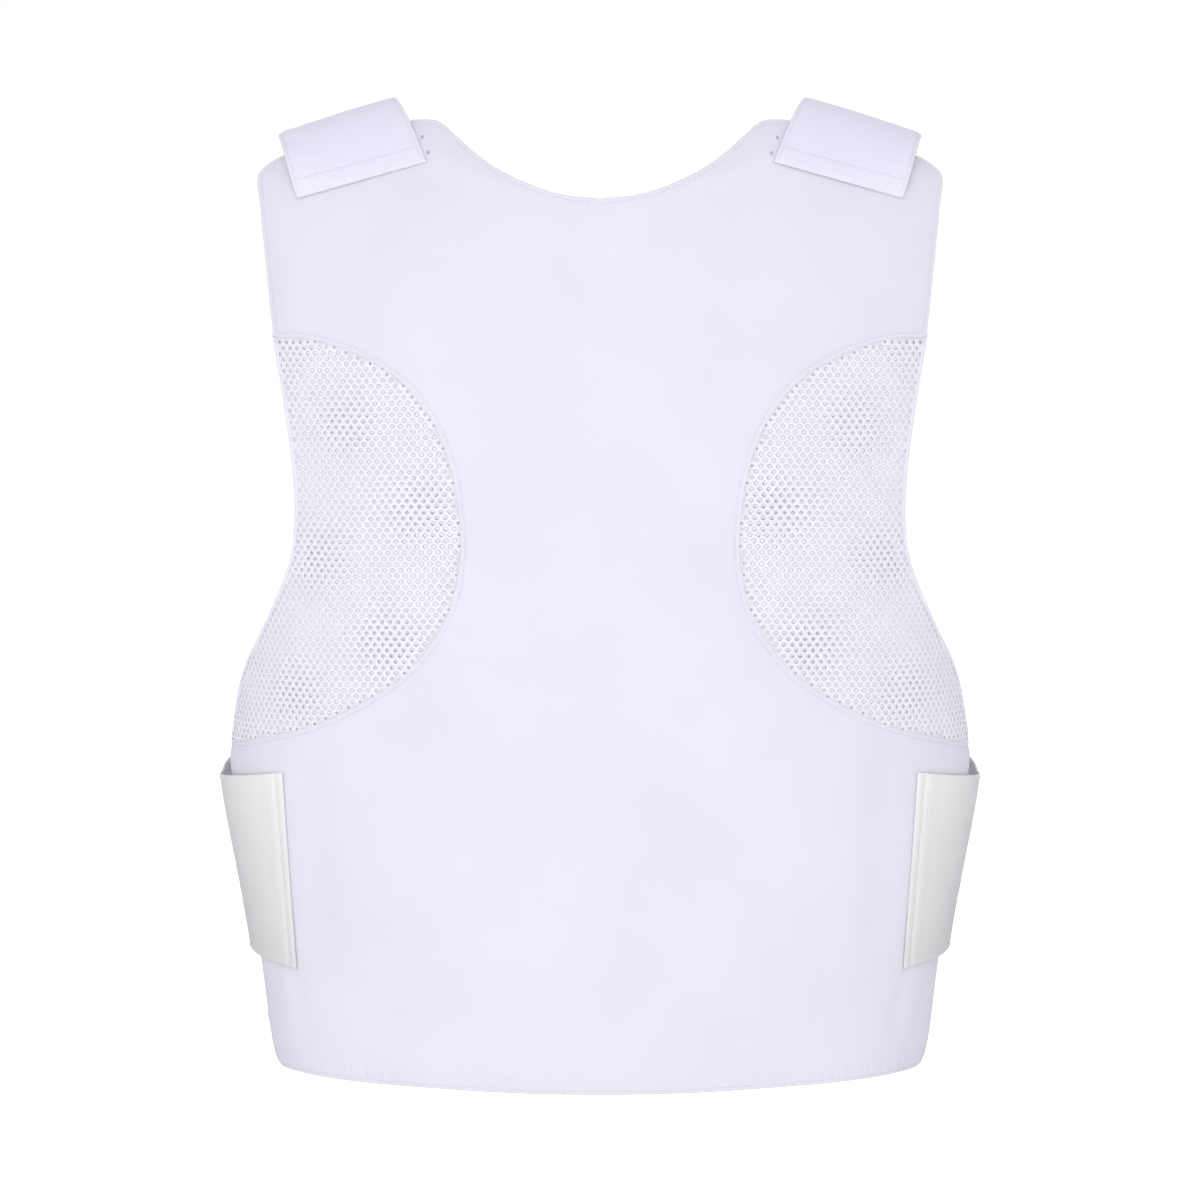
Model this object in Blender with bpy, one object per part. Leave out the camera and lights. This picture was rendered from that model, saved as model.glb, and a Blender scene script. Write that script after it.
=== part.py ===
"""Stab vest in the form it has when worn, hollow where the body goes.

Metres, +Z up.  The front faces -Y, and the back is the same panel facing +Y.  The origin
lies midway between the two shoulder straps, at the height where they bear on the shoulders.
"""

import math

import bmesh
import bpy
import numpy as np
from mathutils import Vector
from mathutils.geometry import delaunay_2d_cdt

# The worn form: a body whose level sections are rounded boxes, under two sloping shoulders.
FRONT = -1
BACK = 1
CHEST_DEPTH = {FRONT: 0.112, BACK: 0.100}
WAIST_LOSS = 0.008
SQUARENESS = 2.6
SHOULDER_X = 0.1375
SHOULDER_SLOPE = math.radians(18)
SHOULDER_ROUND = 0.230
HEM_DROP = 0.500

# Half width of the body at each level, from above the neck down past the hem.
# Columns: level, half width.
BODY = (
    (0.030, 0.230),
    (-0.060, 0.212),
    (-0.130, 0.196),
    (-0.205, 0.188),
    (-0.260, 0.1905),
    (-0.325, 0.1988),
    (-0.350, 0.1976),
    (-0.400, 0.1893),
    (-0.437, 0.1836),
    (-0.470, 0.1798),
    (-0.500, 0.1752),
    (-0.520, 0.1715),
)

# Thickness of the cloth pieces.  A panel holds a flat armour pack, so it is thick in the
# middle and thin round its sewn edge, where its face also falls back a little.
PANEL_THICK = 0.008
EDGE_THICK = 0.0025
EDGE_FALL = 0.002
EDGE_MARGIN = 0.016
STRAP_THICK = 0.0028
ELASTIC_THICK = 0.0020
GAP = 0.0003

# The panel's edge as seen from the front, right half.  Each row is a place that the edge
# runs through, and each stretch starts where another ends.  Columns: out from centre, level.
NECK = (
    (0.0000, -0.0410),
    (0.0154, -0.0394),
    (0.0281, -0.0364),
    (0.0475, -0.0281),
    (0.0610, -0.0195),
    (0.0747, -0.0076),
    (0.0801, -0.0025),
    (0.0845, -0.0000),
    (0.0892, 0.0008),
    (0.0960, 0.0008),
)
SHOULDER_CORNER = (
    (0.1600, -0.0160),
    (0.1680, -0.0188),
    (0.1742, -0.0231),
    (0.1779, -0.0274),
    (0.1784, -0.0327),
)
ARMHOLE_CLOTH = (
    (0.1784, -0.0327),
    (0.1763, -0.0444),
    (0.1713, -0.0853),
    (0.1683, -0.1124),
)
ARMHOLE_MESH = (
    (0.1683, -0.1124),
    (0.1638, -0.1363),
    (0.1582, -0.1743),
    (0.1566, -0.1972),
    (0.1577, -0.2152),
    (0.1617, -0.2308),
    (0.1722, -0.2549),
    (0.1875, -0.2866),
    (0.1939, -0.3181),
    (0.1945, -0.3244),
)
SEAM = (
    (0.1683, -0.1124),
    (0.1501, -0.1124),
    (0.1272, -0.1183),
    (0.1023, -0.1319),
    (0.0869, -0.1491),
    (0.0761, -0.1733),
    (0.0710, -0.2024),
    (0.0713, -0.2277),
    (0.0781, -0.2528),
    (0.0961, -0.2783),
    (0.1193, -0.2952),
    (0.1475, -0.3093),
    (0.1741, -0.3176),
    (0.1945, -0.3244),
)
SIDE = (
    (0.1945, -0.3244),
    (0.1957, -0.3330),
    (0.1887, -0.3825),
    (0.1804, -0.4420),
    (0.1762, -0.4769),
)
HEM_CORNER = (
    (0.1762, -0.4769),
    (0.1749, -0.4849),
    (0.1728, -0.4929),
    (0.1695, -0.4960),
    (0.1655, -0.4962),
)
HEM = (
    (0.1655, -0.4962),
    (0.1582, -0.4957),
    (0.1334, -0.4955),
    (0.0918, -0.4960),
    (0.0395, -0.4979),
    (0.0000, -0.4987),
)

# Shoulder straps: how far out their edges lie at the ridge and at the sewn ends, how far they
# turn over the shoulder, how much further the inner edge goes, and the power of the drop by
# which both edges lean inwards.  The end is a folded hem.
STRAP_RIDGE_IN = 0.1069
STRAP_RIDGE_OUT = 0.1683
STRAP_END_IN = {FRONT: 0.0880, BACK: 0.0940}
STRAP_END_OUT = {FRONT: 0.1550, BACK: 0.1600}
STRAP_END_TURN = math.radians(32.7)
STRAP_SLANT = 0.045
STRAP_LEAN = 0.75
STRAP_CROWN = 0.0025
STRAP_HEM = 0.010
STRAP_HEM_EXTRA = 0.0006

# Side elastics: the ends' corners on the panels, the levels of both edges at the side, and
# the share of the half run that is folded into a hem.  The edges curve by a power of the run.
ELASTIC_END_TOP = -0.334
ELASTIC_END_TOP_X = 0.1622
ELASTIC_END_FOOT = -0.438
ELASTIC_END_FOOT_X = 0.1563
ELASTIC_SIDE_TOP = -0.344
ELASTIC_SIDE_FOOT = -0.435
ELASTIC_SAG = {FRONT: 1.5, BACK: 0.8}
ELASTIC_HEM_PLACE = 0.88
ELASTIC_HEM_EXTRA = 0.0012

# Fineness of the faceted skin: points along an edge, rings of points inside it, the field
# in the middle, how much of its way in a ring point must keep, and the strips of the straps.
EDGE_STEP = 0.014
RING_WAYS = (0.006, 0.016)
RING_KEPT = 0.93
MIDDLE_STEP = 0.023
SECTION_POINTS = 241
STRAP_ALONG = 18
STRAP_ACROSS = 6
ELASTIC_ALONG = 24
ELASTIC_ACROSS = 8


def spline(rows, step):
    """Points about one step apart on a smooth curve through the rows.

    Between two rows the curve is a cubic whose slope at each row is that of the chord
    between its neighbours, scaled to the stretch that it enters.
    """
    rows = np.array(rows, float)
    chord = np.linalg.norm(np.diff(rows, axis=0), axis=1)
    slope = np.empty_like(rows)
    slope[1:-1] = (rows[2:] - rows[:-2]) / (chord[1:] + chord[:-1])[:, None]
    slope[0] = (rows[1] - rows[0]) / chord[0]
    slope[-1] = (rows[-1] - rows[-2]) / chord[-1]
    points = [rows[0]]
    for index, length in enumerate(chord):
        count = max(1, round(length / step))
        for part in np.arange(1, count + 1) / count:
            begin = (1 + 2 * part) * (1 - part) ** 2 * rows[index]
            end = part ** 2 * (3 - 2 * part) * rows[index + 1]
            leave = part * (1 - part) ** 2 * length * slope[index]
            enter = part ** 2 * (part - 1) * length * slope[index + 1]
            points.append(begin + end + leave + enter)
    return np.array(points)


BODY_CURVE = spline(BODY, 0.004)[::-1]


def half_width(level):
    """Half width of the body at a level."""
    return np.interp(level, BODY_CURVE[:, 0], BODY_CURVE[:, 1])


def drop_below_shoulder(x, level):
    """How far a point lies straight below the sloping line of the shoulder."""
    return -math.tan(SHOULDER_SLOPE) * (np.abs(x) - SHOULDER_X) - level


def depth(x, level, face):
    """Distance of the body's skin before or behind the middle plane.

    It grows from nothing at the shoulder as a quarter ellipse does, stays full down the
    chest, eases back towards the hem, and falls to nothing at the side as a rounded box.
    """
    drop = np.maximum(drop_below_shoulder(x, level), 0.0)
    rise = np.minimum(drop / SHOULDER_ROUND, 1.0)
    full = CHEST_DEPTH[face] * np.sqrt(1 - (1 - rise) ** 2)
    below = np.maximum(drop - SHOULDER_ROUND, 0.0) / (HEM_DROP - SHOULDER_ROUND)
    across = np.clip(1 - (np.abs(x) / half_width(level)) ** SQUARENESS, 0.0, 1.0)
    return (full - WAIST_LOSS * below ** 2) * across ** (1 / SQUARENESS)


def section(level, face):
    """Half a level section of the body: x, y and the girth run so far.

    It starts in the middle of the face, goes round the side and ends in the middle behind.
    """
    turn = np.linspace(0.0, math.pi, SECTION_POINTS)
    x = half_width(level) * np.maximum(np.sin(turn), 0.0) ** (2 / SQUARENESS)
    near = depth(x, level, face)
    far = -depth(x, level, -face)
    y = face * np.where(turn < math.pi / 2, near, far)
    girth = np.concatenate([[0.0], np.cumsum(np.hypot(np.diff(x), np.diff(y)))])
    return x, y, girth


def girth_at(x, level, face):
    """Girth from the middle of the face out to x, with the sign of x."""
    xs, _, girth = section(level, face)
    near = slice(0, len(xs) // 2 + 1)
    return math.copysign(np.interp(abs(x), xs[near], girth[near]), x)


def on_body(girth, level, face):
    """The point of the body at a girth from the middle of the face, at a level."""
    xs, ys, run = section(level, face)
    x = math.copysign(np.interp(abs(girth), run, xs), girth)
    return Vector((x, np.interp(abs(girth), run, ys), level))


def over_shoulder(x, turn):
    """The point of the body at x, a turn away from the shoulder's ridge.

    A turn below nothing lies on the front and one above nothing lies on the back.
    """
    drop = SHOULDER_ROUND * (1 - math.cos(turn))
    level = -math.tan(SHOULDER_SLOPE) * (abs(x) - SHOULDER_X) - drop
    face = FRONT if turn < 0 else BACK
    return Vector((x, face * depth(x, level, face), level))


def lifted(surface, u, v, lift, nudge=0.0005):
    """The surface's point at u and v, moved out along the surface's normal."""
    point = surface(u, v)
    along = surface(u + nudge, v) - surface(u - nudge, v)
    down = surface(u, v + nudge) - surface(u, v - nudge)
    normal = along.cross(down).normalized()
    if normal.dot(Vector((point.x, point.y, 0.05))) < 0:
        normal.negate()
    return point + normal * lift


def inside(points, outline):
    """Which points lie inside a closed outline, by counting the edges crossed."""
    ahead = np.roll(outline, -1, axis=0)
    px, py = points[:, 0:1], points[:, 1:2]
    spans = (outline[:, 1] > py) != (ahead[:, 1] > py)
    rise = ahead[:, 1] - outline[:, 1]
    rise = np.where(np.abs(rise) < 1e-12, 1e-12, rise)
    cross = outline[:, 0] + (py - outline[:, 1]) * (ahead[:, 0] - outline[:, 0]) / rise
    return np.sum(spans & (px < cross), axis=1) % 2 == 1


def way_to_edge(points, outline):
    """Shortest distance from each point to a closed outline."""
    ahead = np.roll(outline, -1, axis=0) - outline
    length = np.sum(ahead ** 2, axis=1)
    offset = points[:, None, :] - outline[None, :, :]
    part = np.clip(np.sum(offset * ahead, axis=2) / length, 0.0, 1.0)
    nearest = offset - part[:, :, None] * ahead
    return np.sqrt(np.min(np.sum(nearest ** 2, axis=2), axis=1))


def thinned(points, clear):
    """The points in order, leaving out each that lies too near one already kept."""
    kept = np.empty((0, 2))
    for point in points:
        if not len(kept) or np.min(np.sum((kept - point) ** 2, axis=1)) > clear ** 2:
            kept = np.vstack([kept, point])
    return kept


def skin_points(outline, rings, step):
    """Points inside an outline: rings at set ways from its edge, then an even field."""
    ahead = np.roll(outline, -1, axis=0) - np.roll(outline, 1, axis=0)
    inward = np.column_stack([-ahead[:, 1], ahead[:, 0]])
    inward /= np.linalg.norm(inward, axis=1)[:, None]
    points = np.vstack([outline + inward * way for way in rings])
    reach = np.repeat(rings, len(outline))
    keep = inside(points, outline) & (way_to_edge(points, outline) > RING_KEPT * reach)
    low, high = outline.min(axis=0), outline.max(axis=0)
    across = np.arange(math.floor(low[0] / step), math.ceil(high[0] / step) + 1) * step
    rows = np.arange(low[1], high[1], step * math.sqrt(3) / 2)
    field = []
    for number, level in enumerate(rows):
        shift = (number % 2) * step / 2
        field += [(place + shift, level) for place in across]
    field = np.array(field)
    deep = inside(field, outline) & (way_to_edge(field, outline) > rings[-1] + 0.4 * step)
    return thinned(np.vstack([points[keep], field[deep]]), 0.5 * rings[-1])


def triangles(outline, extra):
    """Flat points and triangles that fill an outline, using the extra points."""
    flat = [Vector(point) for point in np.vstack([outline, extra])]
    rim = list(range(len(outline)))
    points, _, faces, *_ = delaunay_2d_cdt(flat, [], [rim], 1, 1e-7)
    return np.array(points), faces


def finish_mesh(name, points, faces, material):
    """One named object from points and faces, its faces turned outwards."""
    mesh = bpy.data.meshes.new(name)
    mesh.from_pydata(points, [], faces)
    work = bmesh.new()
    work.from_mesh(mesh)
    bmesh.ops.recalc_face_normals(work, faces=work.faces)
    work.to_mesh(mesh)
    work.free()
    mesh.shade_smooth()
    mesh.set_sharp_from_angle(angle=math.radians(40))
    mesh.materials.append(material)
    piece = bpy.data.objects.new(name, mesh)
    bpy.context.collection.objects.link(piece)
    return piece


def padded_piece(name, outline, face, thick, rings, step, material):
    """A closed sewn piece on the body: outer skin, inner skin and a thin rim.

    The outline is laid flat by girth and level, filled with triangles, and each point is
    put back on the body.  Its padding swells from the thin edge over the sewn margin.
    """
    flat_outline = np.array([(girth_at(x, z, face), z) for x, z in outline])
    flat, faces = triangles(flat_outline, skin_points(flat_outline, rings, step))
    way = np.clip(way_to_edge(flat, flat_outline) / EDGE_MARGIN, 0.0, 1.0)
    swell = np.sin(way * math.pi / 2) if thick > EDGE_THICK else way * 0.0

    def surface(girth, level):
        return on_body(girth, level, face)

    outer = []
    inner = []
    for (girth, level), full in zip(flat, swell):
        fall = EDGE_FALL * (1 - full)
        depth_here = fall + EDGE_THICK + (thick - EDGE_THICK) * full
        outer.append(lifted(surface, girth, level, -fall))
        inner.append(lifted(surface, girth, level, -depth_here))
    count = len(flat)
    used = {}
    for corners in faces:
        for a, b in zip(corners, corners[1:] + corners[:1]):
            used[(a, b)] = True
    rim = [(b, a, a + count, b + count) for a, b in used if (b, a) not in used]
    skins = list(faces) + [tuple(count + c for c in reversed(corners)) for corners in faces]
    return finish_mesh(name, outer + inner, skins + rim, material)


def closed_band(name, outer, inner, material):
    """A closed band from an outer and an inner grid of points of the same size."""
    rows, columns = len(outer), len(outer[0])
    points = [point for row in outer + inner for point in row]
    back = rows * columns
    faces = []
    for i in range(rows - 1):
        for j in range(columns - 1):
            a = i * columns + j
            quad = (a, a + 1, a + columns + 1, a + columns)
            faces.append(quad)
            faces.append(tuple(back + corner for corner in reversed(quad)))
    edge = list(range(columns))
    edge += [i * columns + columns - 1 for i in range(1, rows)]
    edge += [(rows - 1) * columns + j for j in range(columns - 2, -1, -1)]
    edge += [i * columns for i in range(rows - 2, 0, -1)]
    for a, b in zip(edge, edge[1:] + edge[:1]):
        faces.append((b, a, a + back, b + back))
    return finish_mesh(name, points, faces, material)


def closed_outline(stretches):
    """One closed outline, turning left, from stretches that follow on from each other."""
    points = [stretches[0][0]]
    for stretch in stretches:
        points += list(stretch[1:])
    points = np.array(points[:-1])
    ahead = np.roll(points, -1, axis=0)
    turn = np.sum(points[:, 0] * ahead[:, 1] - ahead[:, 0] * points[:, 1])
    return points if turn > 0 else points[::-1]


def panel_outline():
    """The whole edge of a panel's cloth: neck, shoulders, seams, sides and hem."""
    shoulder = (NECK[-1], SHOULDER_CORNER[0])
    rows = (NECK, shoulder, SHOULDER_CORNER, ARMHOLE_CLOTH, SEAM, SIDE, HEM_CORNER, HEM)
    half = [spline(stretch, EDGE_STEP) for stretch in rows]
    other = [stretch[::-1] * (-1, 1) for stretch in reversed(half)]
    return closed_outline(half + other)


def mesh_outline(side):
    """The edge of one mesh insert, which keeps a small gap to the cloth along the seam."""
    seam = spline(SEAM, EDGE_STEP)[::-1]
    run = np.gradient(seam, axis=0)
    away = np.column_stack([run[:, 1], -run[:, 0]])
    seam += away / np.linalg.norm(away, axis=1)[:, None] * GAP
    arm = spline(ARMHOLE_MESH, EDGE_STEP)
    arm[0] = seam[-1]
    arm[-1] = seam[0]
    outline = closed_outline([arm, seam]) * (side, 1)
    return outline if side > 0 else outline[::-1]


def shoulder_strap(name, side, material):
    """A cloth strap that lies on both panels and bends over the shoulder between them."""
    turns = np.linspace(-STRAP_END_TURN, STRAP_END_TURN, STRAP_ALONG + 1)
    full_drop = 1 - math.cos(STRAP_END_TURN)
    surface = over_shoulder
    width = np.linspace(0.0, 1.0, STRAP_ACROSS + 1)
    outer = []
    inner = []
    for turn in turns:
        face = FRONT if turn < 0 else BACK
        part = (1 - math.cos(turn)) / full_drop
        lean = part ** STRAP_LEAN
        inside_x = STRAP_RIDGE_IN + (STRAP_END_IN[face] - STRAP_RIDGE_IN) * lean
        outside_x = STRAP_RIDGE_OUT + (STRAP_END_OUT[face] - STRAP_RIDGE_OUT) * lean
        across = side * (inside_x + (outside_x - inside_x) * width)
        bends = turn * (1 + STRAP_SLANT * (1 - width))
        to_end = CHEST_DEPTH[FRONT] * (math.sin(STRAP_END_TURN) - abs(math.sin(turn)))
        hem = STRAP_HEM_EXTRA if to_end < STRAP_HEM else 0.0
        low = GAP + STRAP_CROWN * (1 - part) * np.sin(math.pi * width)
        high = low + STRAP_THICK + hem
        outer.append([lifted(surface, *spot) for spot in zip(across, bends, high)])
        inner.append([lifted(surface, *spot) for spot in zip(across, bends, low)])
    return closed_band(name, outer, inner, material)


def side_strap(name, side, material):
    """A wide elastic that lies on both panels and goes round the open side between them."""

    def surface(girth, level):
        return on_body(girth, level, FRONT)

    outer = []
    inner = []
    for place in np.linspace(1.0, -1.0, ELASTIC_ALONG + 1):
        face = FRONT if place > 0 else BACK
        rise = abs(place) ** ELASTIC_SAG[face]
        top = ELASTIC_SIDE_TOP + (ELASTIC_END_TOP - ELASTIC_SIDE_TOP) * rise
        foot = ELASTIC_SIDE_FOOT + (ELASTIC_END_FOOT - ELASTIC_SIDE_FOOT) * rise
        outer_row = []
        inner_row = []
        for part in np.linspace(0.0, 1.0, ELASTIC_ACROSS + 1):
            level = top + (foot - top) * part
            _, _, girth = section(level, FRONT)
            middle = girth_at(half_width(level), level, face)
            end_x = ELASTIC_END_TOP_X + (ELASTIC_END_FOOT_X - ELASTIC_END_TOP_X) * part
            reach = abs(place) * (middle - girth_at(end_x, level, face))
            run = middle - reach if face == FRONT else girth[-1] - middle + reach
            hem = ELASTIC_HEM_EXTRA if abs(place) > ELASTIC_HEM_PLACE else 0.0
            outer_row.append(lifted(surface, side * run, level, GAP + ELASTIC_THICK + hem))
            inner_row.append(lifted(surface, side * run, level, GAP))
        outer.append(outer_row)
        inner.append(inner_row)
    return closed_band(name, outer, inner, material)


def cloth(name, colour, roughness):
    """A plain cloth finish."""
    material = bpy.data.materials.new(name)
    material.use_nodes = True
    shader = material.node_tree.nodes["Principled BSDF"]
    shader.inputs["Base Color"].default_value = (*colour, 1.0)
    shader.inputs["Roughness"].default_value = roughness
    shader.inputs["Metallic"].default_value = 0.0
    return material


def main():
    for old in list(bpy.data.objects):
        bpy.data.objects.remove(old, do_unlink=True)
    fabric = cloth("vest_fabric", (0.80, 0.81, 0.90), 0.9)
    air_mesh = cloth("air_mesh", (0.78, 0.78, 0.86), 0.95)
    elastic = cloth("side_elastic", (0.72, 0.73, 0.73), 0.8)
    panel = panel_outline()
    sides = (("left", -1), ("right", 1))
    for word, face in (("front", FRONT), ("back", BACK)):
        padded_piece(f"{word}_panel", panel, face, PANEL_THICK, RING_WAYS, MIDDLE_STEP, fabric)
        for side_word, side in sides:
            padded_piece(f"{word}_mesh_{side_word}", mesh_outline(side), face, EDGE_THICK,
                         RING_WAYS[:1], MIDDLE_STEP, air_mesh)
    for side_word, side in sides:
        shoulder_strap(f"shoulder_strap_{side_word}", side, fabric)
        side_strap(f"side_strap_{side_word}", side, elastic)


main()
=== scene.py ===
# %% [markdown]
# # A stab vest, sewn in numpy
#
# The vest is a front and a back panel of thin woven cloth round flat armour packs.  Two short
# straps carry it on the shoulders and two wide elastics draw it together at the waist.  Beside
# each armhole a panel has an insert of open knitted net, which lets the body breathe.
#
# Cloth is cut flat and then worn round a body.  This lesson does the same: every piece is
# drawn flat, with girth round the body as one coordinate and level as the other, and a single
# function carries flat points to the body.  The imported frame holds a plain solid for each piece.

# %% Load the frame
import math

import bmesh
import bpy
import numpy as np
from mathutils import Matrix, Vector
from mathutils.geometry import delaunay_2d_cdt

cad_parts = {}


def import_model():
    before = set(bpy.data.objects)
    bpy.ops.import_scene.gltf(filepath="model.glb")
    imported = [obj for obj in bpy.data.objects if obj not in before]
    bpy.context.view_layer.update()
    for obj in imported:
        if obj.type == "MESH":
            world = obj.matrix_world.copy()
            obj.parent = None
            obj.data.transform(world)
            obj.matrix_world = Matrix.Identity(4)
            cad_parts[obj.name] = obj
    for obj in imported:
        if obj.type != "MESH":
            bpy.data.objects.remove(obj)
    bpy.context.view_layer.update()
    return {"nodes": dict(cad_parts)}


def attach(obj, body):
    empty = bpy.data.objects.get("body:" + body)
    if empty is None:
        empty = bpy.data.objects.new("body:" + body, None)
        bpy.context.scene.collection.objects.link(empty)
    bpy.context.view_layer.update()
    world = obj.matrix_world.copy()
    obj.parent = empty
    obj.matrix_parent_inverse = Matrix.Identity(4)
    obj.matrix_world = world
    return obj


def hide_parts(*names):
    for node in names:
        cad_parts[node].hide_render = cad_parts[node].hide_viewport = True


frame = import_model()
print("frame nodes:", sorted(frame["nodes"]))

# %% [markdown]
# ## The body under the cloth
#
# Nobody is in the vest, yet it keeps the form of a chest.  A level cut through that form is a
# rounded box.  Its depth grows from the shoulder line like a quarter of an ellipse.  The form
# could be sculpted, but a formula is smooth everywhere and both panels, the straps and the
# elastics can share it, so no piece cuts into its neighbour.

# %% The form's sizes, in metres
FRONT = -1
BACK = 1
FACES = (("front", FRONT), ("back", BACK))
SIDES = (("left", -1), ("right", 1))
CHEST_DEPTH = {FRONT: 0.112, BACK: 0.100}
WAIST_LOSS = 0.008
SQUARENESS = 2.6
SHOULDER_X = 0.1375
SHOULDER_SLOPE = math.radians(18)
SHOULDER_ROUND = 0.230
HEM_DROP = 0.500

# Columns: level, half width.
BODY = (
    (0.030, 0.230),
    (-0.060, 0.212),
    (-0.130, 0.196),
    (-0.205, 0.188),
    (-0.260, 0.1905),
    (-0.325, 0.1988),
    (-0.350, 0.1976),
    (-0.400, 0.1893),
    (-0.437, 0.1836),
    (-0.470, 0.1798),
    (-0.500, 0.1752),
    (-0.520, 0.1715),
)


def spline(rows, step):
    """Points about one step apart on a smooth curve through the rows.

    Each stretch is a cubic that leaves its first row and enters its second with the slope of
    the chord between that row's neighbours.  With t from 0 to 1, the rows are weighed by
    (1 + 2t)(1 - t)^2 and t^2(3 - 2t), and the slopes by t(1 - t)^2 and t^2(t - 1).
    """
    rows = np.array(rows, float)
    chord = np.linalg.norm(np.diff(rows, axis=0), axis=1)
    slope = np.empty_like(rows)
    slope[1:-1] = (rows[2:] - rows[:-2]) / (chord[1:] + chord[:-1])[:, None]
    slope[0] = (rows[1] - rows[0]) / chord[0]
    slope[-1] = (rows[-1] - rows[-2]) / chord[-1]
    stretches = [rows[:1]]
    for index, length in enumerate(chord):
        count = max(1, round(length / step))
        t = np.arange(1, count + 1)[:, None] / count
        ends = (1 + 2 * t) * (1 - t) ** 2 * rows[index] + t ** 2 * (3 - 2 * t) * rows[index + 1]
        leave = t * (1 - t) ** 2 * length * slope[index]
        enter = t ** 2 * (t - 1) * length * slope[index + 1]
        stretches.append(ends + leave + enter)
    return np.vstack(stretches)


body_curve = spline(BODY, 0.004)[::-1]


def half_width(level):
    """Half width of the body at a level, read from the smooth curve."""
    return np.interp(level, body_curve[:, 0], body_curve[:, 1])


def depth(x, level, face):
    """Distance of the skin before or behind the middle plane.

    The chest's depth times sqrt(1 - (1 - rise)^2), where rise goes from 0 at the sloping
    shoulder line to 1 at the full chest, less a little towards the hem, times
    (1 - (x / half width)^n)^(1/n), which is a rounded box.
    """
    drop = -math.tan(SHOULDER_SLOPE) * (np.abs(x) - SHOULDER_X) - level
    drop = np.maximum(drop, 0.0)
    rise = np.minimum(drop / SHOULDER_ROUND, 1.0)
    full = CHEST_DEPTH[face] * np.sqrt(1 - (1 - rise) ** 2)
    below = np.maximum(drop - SHOULDER_ROUND, 0.0) / (HEM_DROP - SHOULDER_ROUND)
    across = np.clip(1 - (np.abs(x) / half_width(level)) ** SQUARENESS, 0.0, 1.0)
    return (full - WAIST_LOSS * below ** 2) * across ** (1 / SQUARENESS)


# %% A table of the body by level and girth
TABLE_STEP = 0.001
TABLE_GIRTH = 0.600
TABLE_TURNS = 721
WAIST_LEVEL = -0.370
HALVINGS = 24
levels = np.arange(BODY[0][0], BODY[-1][0] - TABLE_STEP / 2, -TABLE_STEP)
girths = np.arange(0.0, TABLE_GIRTH, TABLE_STEP)


def body_table(face):
    """x and y of the body on a grid of level by girth, and the girth of the side.

    A level cut is x = a sin(t)^(2/n) with t from the middle of the face, round the side, to
    the middle behind.  The chords between its points add up to the girth run so far.
    """
    t = np.linspace(0.0, math.pi, TABLE_TURNS)
    level = levels[:, None]
    x = half_width(level) * np.maximum(np.sin(t), 0.0) ** (2 / SQUARENESS)
    y = face * np.where(t < math.pi / 2, depth(x, level, face), -depth(x, level, -face))
    chords = np.hypot(np.diff(x), np.diff(y))
    run = np.hstack([np.zeros((len(levels), 1)), np.cumsum(chords, axis=1)])
    even_x = np.array([np.interp(girths, *row) for row in zip(run, x)])
    even_y = np.array([np.interp(girths, *row) for row in zip(run, y)])
    return np.stack([even_x, even_y], axis=2), run[:, len(t) // 2], run[:, -1]


tables = {face: body_table(face) for face in (FRONT, BACK)}


def side_girth(level, face):
    """Girth from the middle of a face out to the body's side, at a level."""
    return np.interp(-level, -levels, tables[face][1])


def half_girth(level):
    """Girth from the middle of the front round to the middle of the back, at a level."""
    return np.interp(-level, -levels, tables[FRONT][2])


print("half girth at the waist:", round(float(half_girth(WAIST_LEVEL)), 3))


def on_body(girth, level, face):
    """Points of the body: the table's four nearest entries, mixed by nearness.

    Rows and columns stop just short of the last, so that each has a next one to mix with.
    """
    grid = tables[face][0]
    girth, level = np.broadcast_arrays(girth, level)
    row = np.clip((levels[0] - level) / TABLE_STEP, 0, len(levels) - 1.001)
    column = np.clip(np.abs(girth) / TABLE_STEP, 0, len(girths) - 1.001)
    i, j = row.astype(int), column.astype(int)
    down, out = (row - i)[..., None], (column - j)[..., None]
    near = (1 - out) * grid[i, j] + out * grid[i, j + 1]
    far = (1 - out) * grid[i + 1, j] + out * grid[i + 1, j + 1]
    flat = (1 - down) * near + down * far
    return np.stack([np.sign(girth) * flat[..., 0], flat[..., 1], level], axis=-1)


def girth_at(x, level, face):
    """Girth from the middle of the face out to x, found by halving its bracket."""
    x, level = np.broadcast_arrays(x, level)
    low = np.zeros(x.shape)
    high = side_girth(level, face)
    for _ in range(HALVINGS):
        middle = (low + high) / 2
        short = on_body(middle, level, face)[..., 0] < np.abs(x)
        low = np.where(short, middle, low)
        high = np.where(short, high, middle)
    return np.copysign(middle, x)


def unit(vectors):
    """The vectors divided by their lengths."""
    return vectors / np.maximum(np.linalg.norm(vectors, axis=-1, keepdims=True), 1e-12)


# Half the step of the differences, and how much pointing up counts as pointing out.
NUDGE = 0.001
UP_COUNTS = 0.05


def lifted(surface, u, v, lift):
    """The surface's points moved out by lift along its normal.

    The normal is the cross product of the surface's two directions, by differences.  It is
    turned to point away from the middle of the body, and upwards on the shoulder's ridge.
    """
    point = surface(u, v)
    along = surface(u + NUDGE, v) - surface(u - NUDGE, v)
    down = surface(u, v + NUDGE) - surface(u, v - NUDGE)
    normal = unit(np.cross(along, down))
    outward = normal[..., 0] * point[..., 0] + normal[..., 1] * point[..., 1]
    outward = np.sign(outward + UP_COUNTS * normal[..., 2])
    return point + normal * (outward * lift)[..., None]


def panel_surface(face):
    """The body's surface as a function of girth and level, seen from one face."""
    return lambda girth, level: on_body(girth, level, face)


# %% [markdown]
# ## Helpers that turn arrays into meshes
#
# A sewn piece is a closed shell: an outer skin, an inner skin and a rounded edge where they
# meet.  Both skins use the same faces, and they share the points of the rim.  That keeps each
# piece watertight, so it has an inside and an outside for whoever reuses the mesh.


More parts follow.
